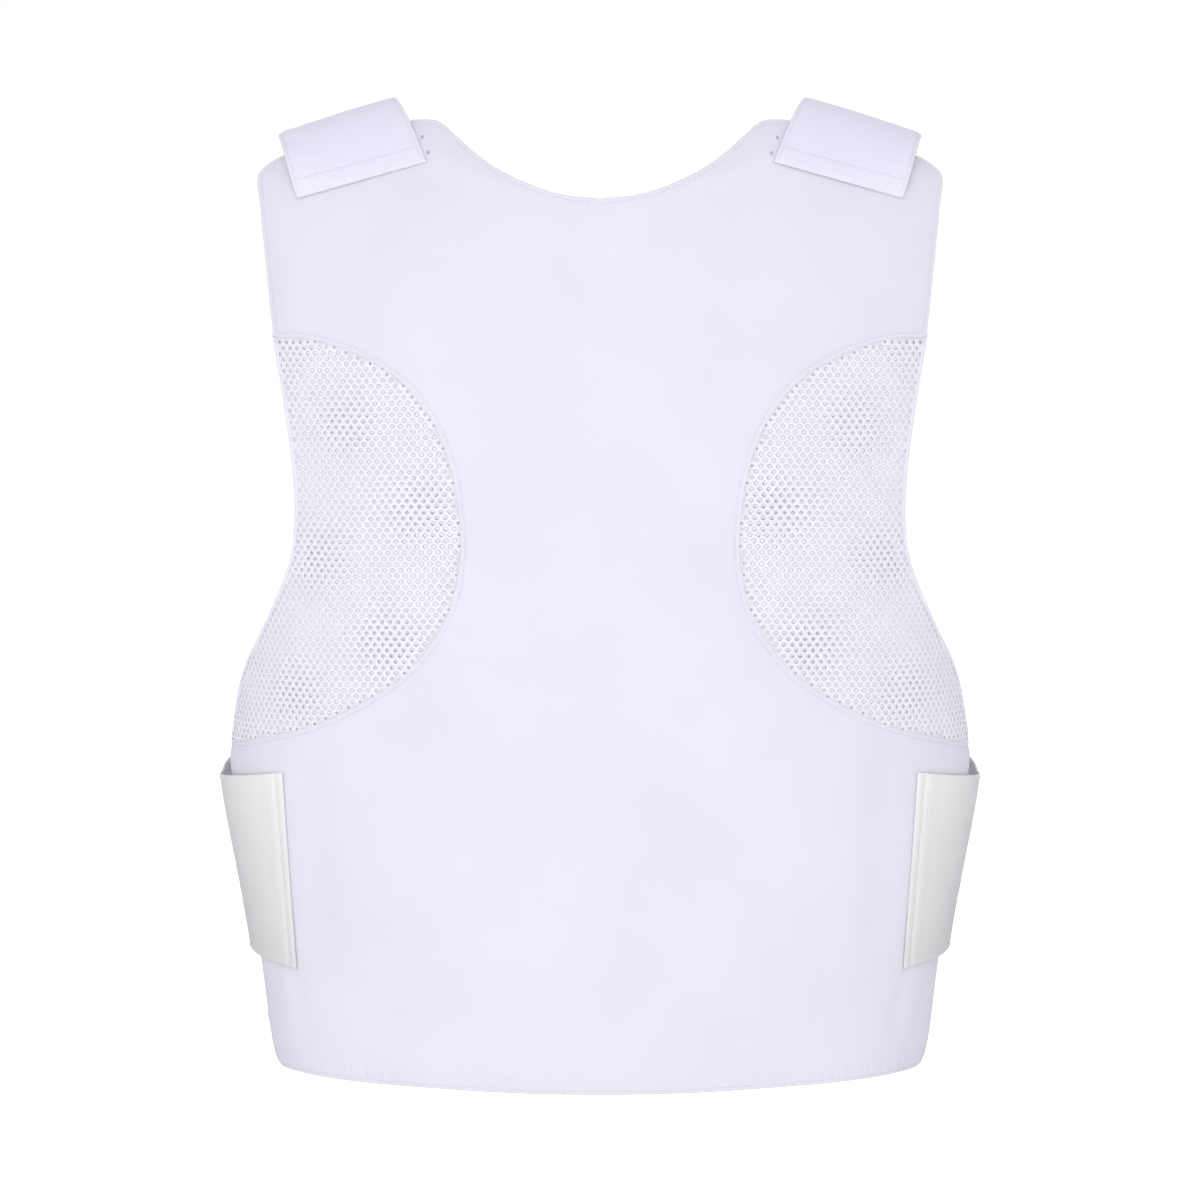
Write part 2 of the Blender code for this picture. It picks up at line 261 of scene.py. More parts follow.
# %% Meshes from arrays
def mesh_piece(name, points, faces, flat=None):
    """One object from points and faces, with flat cloth coordinates as its UV map."""
    mesh = bpy.data.meshes.new(name)
    mesh.from_pydata(points.tolist(), [], faces.tolist())
    work = bmesh.new()
    work.from_mesh(mesh)
    bmesh.ops.recalc_face_normals(work, faces=work.faces)
    work.to_mesh(mesh)
    work.free()
    mesh.shade_smooth()
    if flat is not None:
        corners = np.empty(len(mesh.loops), np.int32)
        mesh.loops.foreach_get("vertex_index", corners)
        layer = mesh.uv_layers.new(name="cloth")
        layer.data.foreach_set("uv", flat[corners].astype(np.float32).ravel())
    piece = bpy.data.objects.new(name, mesh)
    bpy.context.collection.objects.link(piece)
    return piece


def two_skins(name, outer, inner, faces, rim, flat):
    """A closed piece from two skins with the same faces, sharing the points of the rim."""
    count = len(outer)
    other = np.where(rim, np.arange(count), count + np.cumsum(~rim) - 1)
    points = np.vstack([outer, inner[~rim]])
    spread = np.vstack([flat, flat[~rim]])
    return mesh_piece(name, points, np.vstack([faces, other[faces[:, ::-1]]]), spread)


def grid_faces(rows, columns):
    """Quads of a grid of rows by columns, by counting through it."""
    corner = np.arange(rows * columns).reshape(rows, columns)
    quads = [corner[:-1, :-1], corner[:-1, 1:], corner[1:, 1:], corner[1:, :-1]]
    return np.stack(quads, axis=-1).reshape(-1, 4)


def grid_rim(rows, columns):
    """Which points of a grid lie on its border."""
    rim = np.ones((rows, columns), bool)
    rim[1:-1, 1:-1] = False
    return rim.ravel()


def strip_piece(name, along, across, lifts, place, side):
    """A closed strip from its flat places along and across: lifts gives both its faces'
    heights, and place carries flat places to one side of the body.
    """
    along, across = along[:, None], across[None]
    rows, columns = along.size, across.size
    high, low = lifts(along, across)
    outer = place(along, across, side, high).reshape(-1, 3)
    inner = place(along, across, side, low).reshape(-1, 3)
    flat = np.stack(np.broadcast_arrays(across, along), axis=-1).reshape(-1, 2)
    return two_skins(name, outer, inner, grid_faces(rows, columns), grid_rim(rows, columns), flat)


def edge_spaced(length, fine, near, coarse):
    """Places from 0 to length, finely spaced near both ends and coarsely between."""
    edge = np.arange(0.0, near, fine)
    middle = np.linspace(near, length - near, round((length - 2 * near) / coarse) + 1)
    return np.concatenate([edge, middle, length - edge[::-1]])


def rounded(way, radius):
    """Height of a round edge: sqrt(1 - (1 - way / radius)^2), and 1 past the radius."""
    return np.sqrt(1 - (1 - np.clip(way / radius, 0.0, 1.0)) ** 2)


def ridge(way, place, width):
    """A soft ridge across a way: exp(-((way - place) / width)^2)."""
    return np.exp(-(((way - place) / width) ** 2))


def before(way, place, soft):
    """1 before a place on the way and 0 past it: (1 - tanh((way - place) / soft)) / 2."""
    return (1 - np.tanh((way - place) / soft)) / 2


# %% [markdown]
# ## Flat patterns
#
# A tailor's pattern is an outline with few marks and smooth lines between them.  The tables
# hold those marks for the right half as seen from the front, and the left half mirrors it.
# The fewer the marks, the smoother the line, so only the corners have them close together.

# %% The marks of the panel's edge
# Columns of each table: out from the centre, level.
NECK = (
    (0.0000, -0.0410),
    (0.0154, -0.0394),
    (0.0281, -0.0364),
    (0.0475, -0.0281),
    (0.0610, -0.0195),
    (0.0747, -0.0076),
    (0.0801, -0.0025),
    (0.0845, -0.0000),
    (0.0892, 0.0008),
    (0.0960, 0.0008),
)
SHOULDER_CORNER = (
    (0.1600, -0.0160),
    (0.1680, -0.0188),
    (0.1742, -0.0231),
    (0.1779, -0.0274),
    (0.1784, -0.0327),
)
ARMHOLE_CLOTH = (
    (0.1784, -0.0327),
    (0.1763, -0.0444),
    (0.1713, -0.0853),
    (0.1683, -0.1124),
)
ARMHOLE_NET = (
    (0.1683, -0.1124),
    (0.1638, -0.1363),
    (0.1582, -0.1743),
    (0.1566, -0.1972),
    (0.1577, -0.2152),
    (0.1617, -0.2308),
    (0.1722, -0.2549),
    (0.1875, -0.2866),
    (0.1939, -0.3181),
    (0.1945, -0.3244),
)
SEAM = (
    (0.1683, -0.1124),
    (0.1501, -0.1124),
    (0.1272, -0.1183),
    (0.1023, -0.1319),
    (0.0869, -0.1491),
    (0.0761, -0.1733),
    (0.0710, -0.2024),
    (0.0713, -0.2277),
    (0.0781, -0.2528),
    (0.0961, -0.2783),
    (0.1193, -0.2952),
    (0.1475, -0.3093),
    (0.1741, -0.3176),
    (0.1945, -0.3244),
)
SIDE = (
    (0.1945, -0.3244),
    (0.1957, -0.3330),
    (0.1887, -0.3825),
    (0.1804, -0.4420),
    (0.1762, -0.4769),
)
HEM_CORNER = (
    (0.1762, -0.4769),
    (0.1749, -0.4849),
    (0.1728, -0.4929),
    (0.1695, -0.4960),
    (0.1655, -0.4962),
)
HEM = (
    (0.1655, -0.4962),
    (0.1582, -0.4957),
    (0.1334, -0.4955),
    (0.0918, -0.4960),
    (0.0395, -0.4979),
    (0.0000, -0.4987),
)

# How much wider the neck is cut half way down each panel's curve, so that the back panel's
# edge stays hidden behind the front panel's.
NECK_EASE = {FRONT: 0.0, BACK: 0.0022}

# How far apart the points are that are drawn along an edge.
EDGE_STEP = 0.002
CURVE_STEP = 0.0015
HEM_CORNER_STEP = 0.0012
HEM_STEP = 0.0008


# %% Lines and distances on the flat pattern
POINTS_AT_ONCE = 1500


def flat_line(rows, step, face):
    """A smooth line through a table's marks, with x turned into girth."""
    line = spline(rows, step)
    return np.column_stack([girth_at(line[:, 0], line[:, 1], face), line[:, 1]])


def nearest_on(points, line):
    """Distance of each point to a line of short pieces, and the nearest place on it.

    A piece's nearest place is its start plus a share of its run.  The share is the point's
    offset along the run over the run's length, kept between 0 and 1.  The points are taken in
    parts, which keeps the arrays of every point against every piece small.
    """
    start, run = line[:-1], np.diff(line, axis=0)
    ways, places = [], []
    for part in np.array_split(points, max(1, len(points) // POINTS_AT_ONCE)):
        offset = part[:, None] - start
        share = np.clip((offset * run).sum(axis=2) / (run ** 2).sum(axis=1), 0.0, 1.0)
        away = offset - share[..., None] * run
        way = (away ** 2).sum(axis=2)
        best = way.argmin(axis=1)
        pick = np.arange(len(part)), best
        ways.append(np.sqrt(way[pick]))
        places.append(part - away[pick])
    return np.concatenate(ways), np.vstack(places)


def inside(points, outline):
    """Which points lie inside a closed outline: a ray from them crosses it an odd number
    of times."""
    ahead = np.roll(outline, -1, axis=0)
    x, y = points[:, 0:1], points[:, 1:2]
    spans = (outline[:, 1] > y) != (ahead[:, 1] > y)
    rise = ahead[:, 1] - outline[:, 1]
    rise = np.where(np.abs(rise) < 1e-12, 1e-12, rise)
    cross = outline[:, 0] + (y - outline[:, 1]) * (ahead[:, 0] - outline[:, 0]) / rise
    return np.sum(spans & (x < cross), axis=1) % 2 == 1


def closed(line):
    """The outline with its first point again at the end."""
    return np.vstack([line, line[:1]])


def length_run(line):
    """Length run along a line up to each of its points."""
    return np.concatenate([[0.0], np.cumsum(np.linalg.norm(np.diff(line, axis=0), axis=1))])


def signed_area(outline):
    """Half the sum of a closed outline's cross products: above nothing if it turns left."""
    ahead = np.roll(outline, -1, axis=0)
    return np.sum(outline[:, 0] * ahead[:, 1] - ahead[:, 0] * outline[:, 1]) / 2


def inward(outline):
    """Unit vectors into a closed outline that turns left, across its run."""
    run = np.roll(outline, -1, axis=0) - np.roll(outline, 1, axis=0)
    return unit(np.column_stack([-run[:, 1], run[:, 0]]))


def panel_lines(face):
    """The right half of the panel's edge, as named lines from the neck down to the hem."""
    shoulder = (NECK[-1], SHOULDER_CORNER[0])
    end = NECK[-1][0]
    neck = [(x + NECK_EASE[face] * math.sin(math.pi * x / end), level) for x, level in NECK]
    return {
        "neck": flat_line(neck, CURVE_STEP, face),
        "shoulder": flat_line(shoulder, EDGE_STEP, face),
        "corner": flat_line(SHOULDER_CORNER, CURVE_STEP, face),
        "armhole": flat_line(ARMHOLE_CLOTH, EDGE_STEP, face),
        "seam": flat_line(SEAM, EDGE_STEP, face),
        "side": flat_line(SIDE, EDGE_STEP, face),
        "hem_corner": flat_line(HEM_CORNER, HEM_CORNER_STEP, face),
        "hem": flat_line(HEM, HEM_STEP, face),
    }


def whole_outline(lines):
    """The closed outline: the right half and its mirror image, in the order that turns left."""
    half = np.vstack([lines[name][:-1] for name in lines] + [lines["hem"][-1:]])
    mirror = half[::-1] * (-1, 1)
    ring = np.vstack([half, mirror[1:-1]])
    return ring[::-1]


edge_lines = {face: panel_lines(face) for face in (FRONT, BACK)}
outlines = {face: whole_outline(edge_lines[face]) for face in (FRONT, BACK)}
print("points on the front panel's edge:", len(outlines[FRONT]))

# %% [markdown]
# ## The panel's relief
#
# Up close a panel isn't smooth.  Its edge is turned in and stitched down, which presses a
# fine groove a few millimetres from the edge.  The hem's thread is tight, so the cloth gathers
# in short puckers.  The seam with the net is a narrow raised band with a groove behind it, and
# it ends flush with the net.  Inside the edge the armour pack fills the cloth.  Each of these
# is a function of the distance to one edge, so they are added up as heights above the body
# instead of being modelled one by one.

# %% Heights of the panel above the body
PANEL_THICK = 0.008
EDGE_THICK = 0.0022
EDGE_FALL = 0.0015
EDGE_MARGIN = 0.016
EDGE_ROUND = 0.0009
STITCH_IN = 0.0023
GROOVE = 0.00028
GROOVE_WIDTH = 0.0006
HEM_LOSS = 0.6
HEM_LOSS_WAY = 0.003
HEM_LOSS_SOFT = 0.001
BAND_WIDTH = 0.0022
BAND_HEIGHT = 0.00035
BAND_SOFT = 0.0004
SEAM_GROOVE = 1.4 * GROOVE
SEAM_SHARE = 0.12
SEAM_CLOSE = 0.003
SEAM_CLOSE_SOFT = 0.0008
PUCKER_HEIGHT = 0.00060
PUCKER_PLACE = 0.0058
PUCKER_WIDTH = 0.0028
PUCKER_LEAN = 0.15
PUCKER_FROM = 0.015
PUCKER_OVER = 0.03
LEAST_PUCKER = 0.25
NECK_PUCKER_HEIGHT = 0.00007
NECK_PUCKER_PLACE = 0.0025
NECK_PUCKER_WIDTH = 0.0022
NECK_PUCKER_SPREAD = 0.7
DRAPE_HEIGHT = 0.00022

# The puckers' waves, each height times sin(run / length + start).  Columns: height, length,
# start.
PUCKER_WAVES = ((1.0, 0.00046, 0.0), (0.8, 0.00071, 1.3), (0.7, 0.00113, 0.4))

# Soft folds, mirrored left and right.  Columns: girth and level of one end, girth and level
# of the other, half width, height (below nothing for a valley).
FOLDS = (
    (0.088, -0.018, 0.052, -0.032, 0.0050, 0.0007),
    (0.096, -0.030, 0.058, -0.042, 0.0060, -0.0005),
    (0.150, -0.330, 0.146, -0.420, 0.0090, -0.0008),
    (0.132, -0.325, 0.130, -0.430, 0.0110, 0.0007),
    (0.166, -0.441, 0.160, -0.470, 0.0030, -0.0006),
    (0.174, -0.445, 0.172, -0.470, 0.0050, 0.0006),
    (0.120, -0.060, 0.150, -0.095, 0.0140, -0.0008),
    (0.030, -0.300, 0.060, -0.420, 0.0300, 0.0006),
)


def puckers(run):
    """Gathers along a tight seam, up to 1: three sines whose lengths share no common measure.

    They swell and fade by two slow sines, and their own heights add up to 2.5.
    """
    waves = sum(height * np.sin(run / length + start) for height, length, start in PUCKER_WAVES)
    swell = 0.55 + 0.45 * np.sin(run / 0.0091 + 2.0) * np.sin(run / 0.0235)
    return waves * swell / 2.5


def drape(girth, level):
    """Slow unevenness of worn cloth: a few long sines that run slantwise over each other."""
    waves = np.sin(girth / 0.021 + level / 0.034) + np.sin(level / 0.027 - girth / 0.045)
    return waves + 0.6 * np.sin(girth / 0.0125 - level / 0.052 + 0.8)


def panel_relief(flat, face):
    """Lifts of the panel's outer and inner skin at flat points.

    The pack swells as sin over the margin.  Each edge adds its groove, band or puckers.  The
    groove loses depth beside the hem, where the puckers are, and these grow from the hem's
    middle outwards.  Both skins close on each other over the rounded edge.  They meet half
    way, but at the seam the outer skin does little of the way, so it ends flush with the net.
    """
    half = np.column_stack([np.abs(flat[:, 0]), flat[:, 1]])
    way = {name: nearest_on(half, line)[0] for name, line in edge_lines[face].items()}
    nearest = np.min(list(way.values()), axis=0)
    swell = np.sin(np.minimum(nearest / EDGE_MARGIN, 1.0) * math.pi / 2)
    lift = -EDGE_FALL * (1 - swell)
    thick = EDGE_THICK + (PANEL_THICK - EDGE_THICK) * swell
    seam = way["seam"]
    others = np.min([way[name] for name in way if name != "seam"], axis=0)
    hem = np.minimum(way["hem"], way["hem_corner"])
    shallow = 1 - HEM_LOSS * before(hem, HEM_LOSS_WAY, HEM_LOSS_SOFT)
    lift -= GROOVE * shallow * ridge(others, STITCH_IN, GROOVE_WIDTH)
    lift += BAND_HEIGHT * before(seam, BAND_WIDTH, BAND_SOFT)
    lift -= SEAM_GROOVE * ridge(seam, BAND_WIDTH + BAND_SOFT, BAND_SOFT)
    outwards = np.clip((half[:, 0] - PUCKER_FROM) / PUCKER_OVER, LEAST_PUCKER, 1.0)
    gather = ridge(hem, PUCKER_PLACE, PUCKER_WIDTH) * outwards
    lift += PUCKER_HEIGHT * gather * puckers(flat[:, 0] + PUCKER_LEAN * hem)
    gather = ridge(way["neck"], NECK_PUCKER_PLACE, NECK_PUCKER_WIDTH)
    lift += NECK_PUCKER_HEIGHT * gather * puckers(flat[:, 0] * NECK_PUCKER_SPREAD)
    for girth_0, level_0, girth_1, level_1, width, height in FOLDS:
        fold = nearest_on(half, np.array([[girth_0, level_0], [girth_1, level_1]]))[0]
        lift += height * swell * ridge(fold, 0.0, width)
    lift += DRAPE_HEIGHT * swell * drape(flat[:, 0], flat[:, 1])
    share = 0.5 - (0.5 - SEAM_SHARE) * before(seam, SEAM_CLOSE, SEAM_CLOSE_SOFT)
    close = (1 - rounded(nearest, EDGE_ROUND)) * thick
    return lift - close * share, lift - thick + close * (1 - share), nearest


# %% [markdown]
# ## The two padded panels
#
# A grid would have to be cut along the outline and would leave steps there.  So the flat
# pattern is filled with rings of points that follow the edge closely, with an even field in
# the middle, and the points are joined into triangles.  Fine rings give the grooves and the
# puckers a true shape, and the field can stay coarse because the chest is smooth.

# %% Fill a flat pattern and lay it on the body
RINGS = np.array([
    0.25, 0.6, 1.0, 1.4, 1.9, 2.3, 2.6, 2.95, 3.4, 4.2, 5.4, 7.0, 9.0, 12.0, 16.0,
]) / 1000
FIELD_STEP = 0.0048

# A ring's point stays if it is this share of the ring's way from every edge, the field stays
# this share of its step inside the last ring, and points this close together are merged.  The
# last two say when the triangles take two points as one, and when a point lies on the edge.
RING_SHARE = 0.93
FIELD_GAP = 0.4
MERGE_GRID = 0.0005
SAME_POINT = 1e-7
ON_EDGE = 1e-6


def filled(outline):
    """Flat points and triangles inside an outline: rings along its edge, then a field."""
    inner = inward(outline)
    rings = np.vstack([outline + inner * way for way in RINGS])
    reach = np.repeat(RINGS, len(outline))
    border = closed(outline)
    keep = inside(rings, outline) & (nearest_on(rings, border)[0] > RING_SHARE * reach)
    low, high = outline.min(axis=0), outline.max(axis=0)
    rows = np.arange(low[1], high[1], FIELD_STEP * math.sqrt(3) / 2)
    across = np.arange(math.floor(low[0] / FIELD_STEP), math.ceil(high[0] / FIELD_STEP) + 1)
    shift = (np.arange(len(rows)) % 2)[:, None] / 2
    field_x = (across[None] + shift) * FIELD_STEP
    field = np.column_stack([field_x.ravel(), np.repeat(rows, len(across))])
    deep = inside(field, outline)
    deep[deep] = nearest_on(field[deep], border)[0] > RINGS[-1] + FIELD_GAP * FIELD_STEP
    extra = np.vstack([rings[keep], field[deep]])
    _, first = np.unique(np.round(extra / MERGE_GRID), axis=0, return_index=True)
    extra = extra[np.sort(first)]
    flat = [Vector(point) for point in np.vstack([outline, extra]).tolist()]
    loop = list(range(len(outline)))
    points, _, faces, *_ = delaunay_2d_cdt(flat, [], [loop], 1, SAME_POINT)
    return np.array(points), np.array(faces)


def padded_panel(name, face):
    """A closed padded panel, from its filled flat pattern."""
    flat, faces = filled(outlines[face])
    outer_lift, inner_lift, way = panel_relief(flat, face)
    surface = panel_surface(face)
    outer = lifted(surface, flat[:, 0], flat[:, 1], outer_lift)
    inner = lifted(surface, flat[:, 0], flat[:, 1], inner_lift)
    return two_skins(name, outer, inner, faces, way < ON_EDGE, flat)


panels = {}
for word, face in FACES:
    panels[face] = padded_panel(f"{word}_panel_cloth", face)
    print(word, "panel faces:", len(panels[face].data.polygons))

# %% [markdown]
# ## The net inserts
#
# The inserts are knitted net, doubled.  Each layer is a honeycomb of round holes in staggered
# rows, with a raised ring of thread round each hole.  The inner layer's holes are smaller, so
# it shows as a soft floor behind the outer holes.  Where both layers' holes line up one sees
# through, and where slack closes them the net looks whole, which gives the insert its drifting
# pattern.  A picture of holes would be flat from the side, so every hole is cut.  One cell is
# worked out and copied to all places of the lattice as one array.

# %% One layer of net
# A ring of thread has its crest at RIDGE_PLACE of the way from the hole to the cell's border.
# Cells nearer to the edge than CELL_CLEAR are left out, and points nearer than REACH_OUT are
# stretched to it.  In the open band inside the edge a layer can have another size of hole.
NET_PITCH = 0.0044
NET_ROW = 0.0029
HOLE_HALF_WIDTH = 0.00100
HOLE_HALF_HEIGHT = 0.00106
RIDGE_PLACE = 0.45
RIDGE_HEIGHT = 0.00020
THREAD_HEIGHT = 0.00016
BORDER_HEIGHT = 0.00005
NET_REACH = 0.17
CELL_CLEAR = 0.0012
REACH_OUT = 0.0034
OPEN_BAND = 0.0090
OPEN_BAND_WIDTH = 0.0055
SHRINK_FROM = 0.0010
SHRINK_OVER = 0.0030
LEAST_SHRUNK = 0.3
HOLE_LOSS = 0.22
CORNER = (NET_ROW ** 2 - NET_PITCH ** 2 / 4) / (2 * NET_ROW)

# A cell's border as shares of pitch and distances up, going round from the right.
quarter = np.array([2, 2, 1, 0, -1, -2, -2, -2, -1, 0, 1, 2]) * NET_PITCH / 4
up = np.array([0, CORNER, NET_ROW / 2, NET_ROW - CORNER, NET_ROW / 2, CORNER])
cell_border = np.column_stack([quarter, np.concatenate([up, -up])])
hole_half = np.array([HOLE_HALF_WIDTH, HOLE_HALF_HEIGHT])
cell_share = cell_border / hole_half
cell_turn = np.arctan2(cell_share[:, 1], cell_share[:, 0])
cell_hole = hole_half * np.column_stack([np.cos(cell_turn), np.sin(cell_turn)])
CELL_SIDES = len(cell_border)


def ring_quads(ring_a, ring_b):
    """Quads between two rings of the same cells, given as arrays of point numbers."""
    next_a, next_b = np.roll(ring_a, -1, axis=1), np.roll(ring_b, -1, axis=1)
    return np.stack([ring_a, next_a, next_b, ring_b], axis=-1).reshape(-1, 4)


def slant_wave(flat, across, down, length, start=0.0):
    """A slanting sine at flat points: sin of (across times girth plus down times level), over
    a length, past a start."""
    return np.sin((flat[:, 0] * across + flat[:, 1] * down) / length + start)


def hole_sizes(placed, to_edge, sizes):
    """Sizes of the holes at the cells' places, as shares of a full hole.

    They turn from the first size to the second in a band inside the edge and shrink close to
    the edge.  Slack takes up to HOLE_LOSS of them, by two slanting waves that cross.
    """
    size = sizes[0] + (sizes[1] - sizes[0]) * ridge(to_edge, OPEN_BAND, OPEN_BAND_WIDTH)
    size = size * np.clip((to_edge - SHRINK_FROM) / SHRINK_OVER, LEAST_SHRUNK, 1.0)
    slack = slant_wave(placed, 0.8, 0.6, 0.0125, 0.6) * slant_wave(placed, 0.5, -0.9, 0.021)
    return size * (1 - HOLE_LOSS * ((1 + slack) / 2))


def kept_at_margin(flat, loose, outline, margin):
    """Flat points kept inside the outline by its margin.

    Points past the margin are pulled back onto it, and loose points close to the outline are
    stretched out to it.
    """
    way, place = nearest_on(flat, closed(outline))
    within = inside(flat, outline)
    towards = unit(np.where(within[:, None], flat - place, place - flat))
    clear = margin(place)
    pull = ~within | (way < clear) | (loose & (way < REACH_OUT))
    return np.where(pull[:, None], place + towards * clear[:, None], flat)


def net_layer(outline, margin, turn, grow, sizes):
    """Flat points, heights, faces and border points of one layer of net inside an outline.

    Cells stand on a lattice that is turned and stretched a little.  Neighbours share the
    points of their borders, which are matched by whole numbers: quarters of the pitch across
    and hundredths of the row up.  The outermost points are stretched to the outline's margin.
    """
    middle = (outline.min(axis=0) + outline.max(axis=0)) / 2
    reach = round(NET_REACH / NET_ROW)
    row, column = np.mgrid[-reach:reach + 1, -reach:reach + 1].reshape(2, -1)
    centre = np.column_stack([(column + (row % 2) / 2) * NET_PITCH, row * NET_ROW])
    spin = grow * np.array([[math.cos(turn), math.sin(turn)], [-math.sin(turn), math.cos(turn)]])
    placed = centre @ spin + middle
    to_edge = nearest_on(placed, closed(outline))[0]
    keep = inside(placed, outline) & (to_edge > CELL_CLEAR)
    centre = centre[keep]
    size = hole_sizes(placed[keep], to_edge[keep], sizes)
    edge = centre[:, None] + cell_border
    keys = np.round(edge / (NET_PITCH / 4, NET_ROW / 100)).astype(int).reshape(-1, 2)
    _, first, shared, uses = np.unique(
        keys, axis=0, return_index=True, return_inverse=True, return_counts=True)
    edge = edge.reshape(-1, 2)[first]
    full = np.where(first % CELL_SIDES % 2 == 0, 2, 3)
    outermost = uses < full
    cells, corners = len(centre), len(edge)
    hole_ring = np.arange(cells * CELL_SIDES).reshape(cells, CELL_SIDES)
    ridge_ring = hole_ring + cells * CELL_SIDES
    top_ring = shared.reshape(cells, CELL_SIDES) + 2 * cells * CELL_SIDES
    below = np.where(outermost, np.arange(corners), corners + np.cumsum(~outermost) - 1)
    under_ring = below[shared].reshape(cells, CELL_SIDES) + 2 * cells * CELL_SIDES
    ring = cell_hole * size[:, None, None]
    hole = (centre[:, None] + ring).reshape(-1, 2)
    crest = (centre[:, None] + ring + RIDGE_PLACE * (cell_border - ring)).reshape(-1, 2)
    flat = np.vstack([hole, crest, edge, edge[~outermost]]) @ spin + middle
    height = np.concatenate([
        np.zeros(len(hole)),
        np.full(len(crest), RIDGE_HEIGHT),
        np.where(outermost, BORDER_HEIGHT, THREAD_HEIGHT),
        np.full((~outermost).sum(), -THREAD_HEIGHT),
    ])
    loose = np.zeros(len(flat), bool)
    loose[2 * len(hole):2 * len(hole) + corners] = outermost
    flat = kept_at_margin(flat, loose, outline, margin)
    rings = ((hole_ring, ridge_ring), (ridge_ring, top_ring), (under_ring, hole_ring))
    return flat, height, np.vstack([ring_quads(*pair) for pair in rings]), loose


# %% [markdown]
# ## The net's edge and its folds
#
# At the armhole the two layers are gathered into a narrow rolled edge, a piece of its own,
# which gets thin at the seam and goes under the cloth with them.  A roll is a small oval
# carried along the outline.  The net is limp, so it hangs in slack slanting folds.

# %% Build the four inserts
NET_TUCK = 0.0010
ROLL_HALF_WIDTH = 0.0013
ROLL_HALF_HEIGHT = 0.0007
ROLL_AT_SEAM = 0.16
ROLL_FROM = 0.0005
ROLL_OVER = 0.004
ROLL_SIDES = 10
ROLL_COVER = 1.2
FOLD_HEIGHT = 0.00045
CROSS_FOLD_HEIGHT = 0.00035
SLACK_OVER = 0.012
NET_LIFT = {"outer": -0.00125, "inner": -0.00165}
NET_TURN = {"outer": math.radians(-2.0), "inner": math.radians(1.6)}
NET_GROW = {"outer": 1.0, "inner": 1.015}
HOLE_SIZE = {"outer": (0.98, 0.98), "inner": (0.14, 0.46)}


def net_outline(face):
    """The closed edge of the right insert, tucked a little into the cloth at the seam."""
    seam = flat_line(SEAM, EDGE_STEP, face)[::-1]
    run = np.gradient(seam, axis=0)
    seam = seam - unit(np.column_stack([run[:, 1], -run[:, 0]])) * NET_TUCK
    arm = flat_line(ARMHOLE_NET, EDGE_STEP, face)
    ring = np.vstack([arm[:-1], seam[:-1]])
    ring[len(arm) - 1] = arm[-1] - (0.0, NET_TUCK)
    ring[0] = arm[0] + (0.0, NET_TUCK)
    return ring if signed_area(ring) > 0 else ring[::-1]


def net_folds(flat):
    """Heights of the slack net: short slanting folds that swell and fade with long ones."""
    slant = slant_wave(flat, 0.8, 0.6, 0.0065)
    cross = slant_wave(flat, 0.5, -0.9, 0.0105, 1.0)
    return FOLD_HEIGHT * slant * (0.6 + 0.4 * cross) + CROSS_FOLD_HEIGHT * cross


def roll_size(points, face):
    """Size of the rolled edge at points of the outline: full at the armhole, small at the seam."""
    to_seam, _ = nearest_on(points, edge_lines[face]["seam"])
    grown = np.clip((to_seam - ROLL_FROM) / ROLL_OVER, 0.0, 1.0)
    return ROLL_AT_SEAM + (1 - ROLL_AT_SEAM) * grown


def roll(outline, size, lift):
    """A rolled edge: an oval carried round the closed outline.

    At an angle v of the oval the point lies its half width times 1 + cos v inside the
    outline, and its half height times sin v above the middle of the net, both by its size.
    """
    v = np.arange(ROLL_SIDES) * 2 * math.pi / ROLL_SIDES
    step = inward(outline) * size[:, None]
    way = ROLL_HALF_WIDTH * (1 + np.cos(v))
    flat = (outline[:, None] + step[:, None] * way[None, :, None]).reshape(-1, 2)
    height = (lift + ROLL_HALF_HEIGHT * size[:, None] * np.sin(v)).ravel()
    number = np.arange(len(flat)).reshape(len(outline), ROLL_SIDES)
    ahead = np.roll(number, -1, axis=0)
    corners = [number, np.roll(number, -1, axis=1), np.roll(ahead, -1, axis=1), ahead]
    return flat, height, np.stack(corners, axis=-1).reshape(-1, 4)


def part_shading(piece, border):
    """Shade both sides of a sheet apart along its border: an edge is sharp if both its ends
    are border points.  Otherwise the top's shading would turn dark towards the border."""
    edges = piece.data.edges
    ends = np.empty(2 * len(edges), np.int32)
    edges.foreach_get("vertices", ends)
    edges.foreach_set("use_edge_sharp", border[ends].reshape(-1, 2).all(axis=1))


def laid_on_panel(name, face, side, flat, lift, faces):
    """A piece from flat points of the right half, laid on one side of a panel."""
    flat = flat * (side, 1)
    points = lifted(panel_surface(face), flat[:, 0], flat[:, 1], lift)
    return mesh_piece(name, points, faces, flat)


def net_insert(name, face, side, layer):
    """One layer of one insert on the body."""
    outline = net_outline(face)

    def margin(place):
        return ROLL_COVER * ROLL_HALF_WIDTH * roll_size(place, face)

    flat, height, faces, border = net_layer(
        outline, margin, NET_TURN[layer], NET_GROW[layer], HOLE_SIZE[layer])
    way, _ = nearest_on(flat, closed(outline))
    slack = np.clip(way / SLACK_OVER, 0.0, 1.0)
    lift = NET_LIFT[layer] + height + net_folds(flat) * slack
    piece = laid_on_panel(name, face, side, flat, lift, faces)
    part_shading(piece, border)
    return piece


def net_edge(name, face, side):
    """The rolled edge round one insert, half way between its layers."""
    outline = net_outline(face)
    middle = (NET_LIFT["outer"] + NET_LIFT["inner"]) / 2
    flat, lift, faces = roll(outline, roll_size(outline, face), middle)
    return laid_on_panel(name, face, side, flat, lift, faces)


nets = {}
net_edges = []
for word, face in FACES:
    for side_word, side in SIDES:
        for layer in ("outer", "inner"):
            name = f"{word}_net_{side_word}_{layer}"
            nets[face, side, layer] = net_insert(name, face, side, layer)
            print(name, "faces:", len(nets[face, side, layer].data.polygons))
        net_edges.append(net_edge(f"{word}_net_{side_word}_edge", face, side))

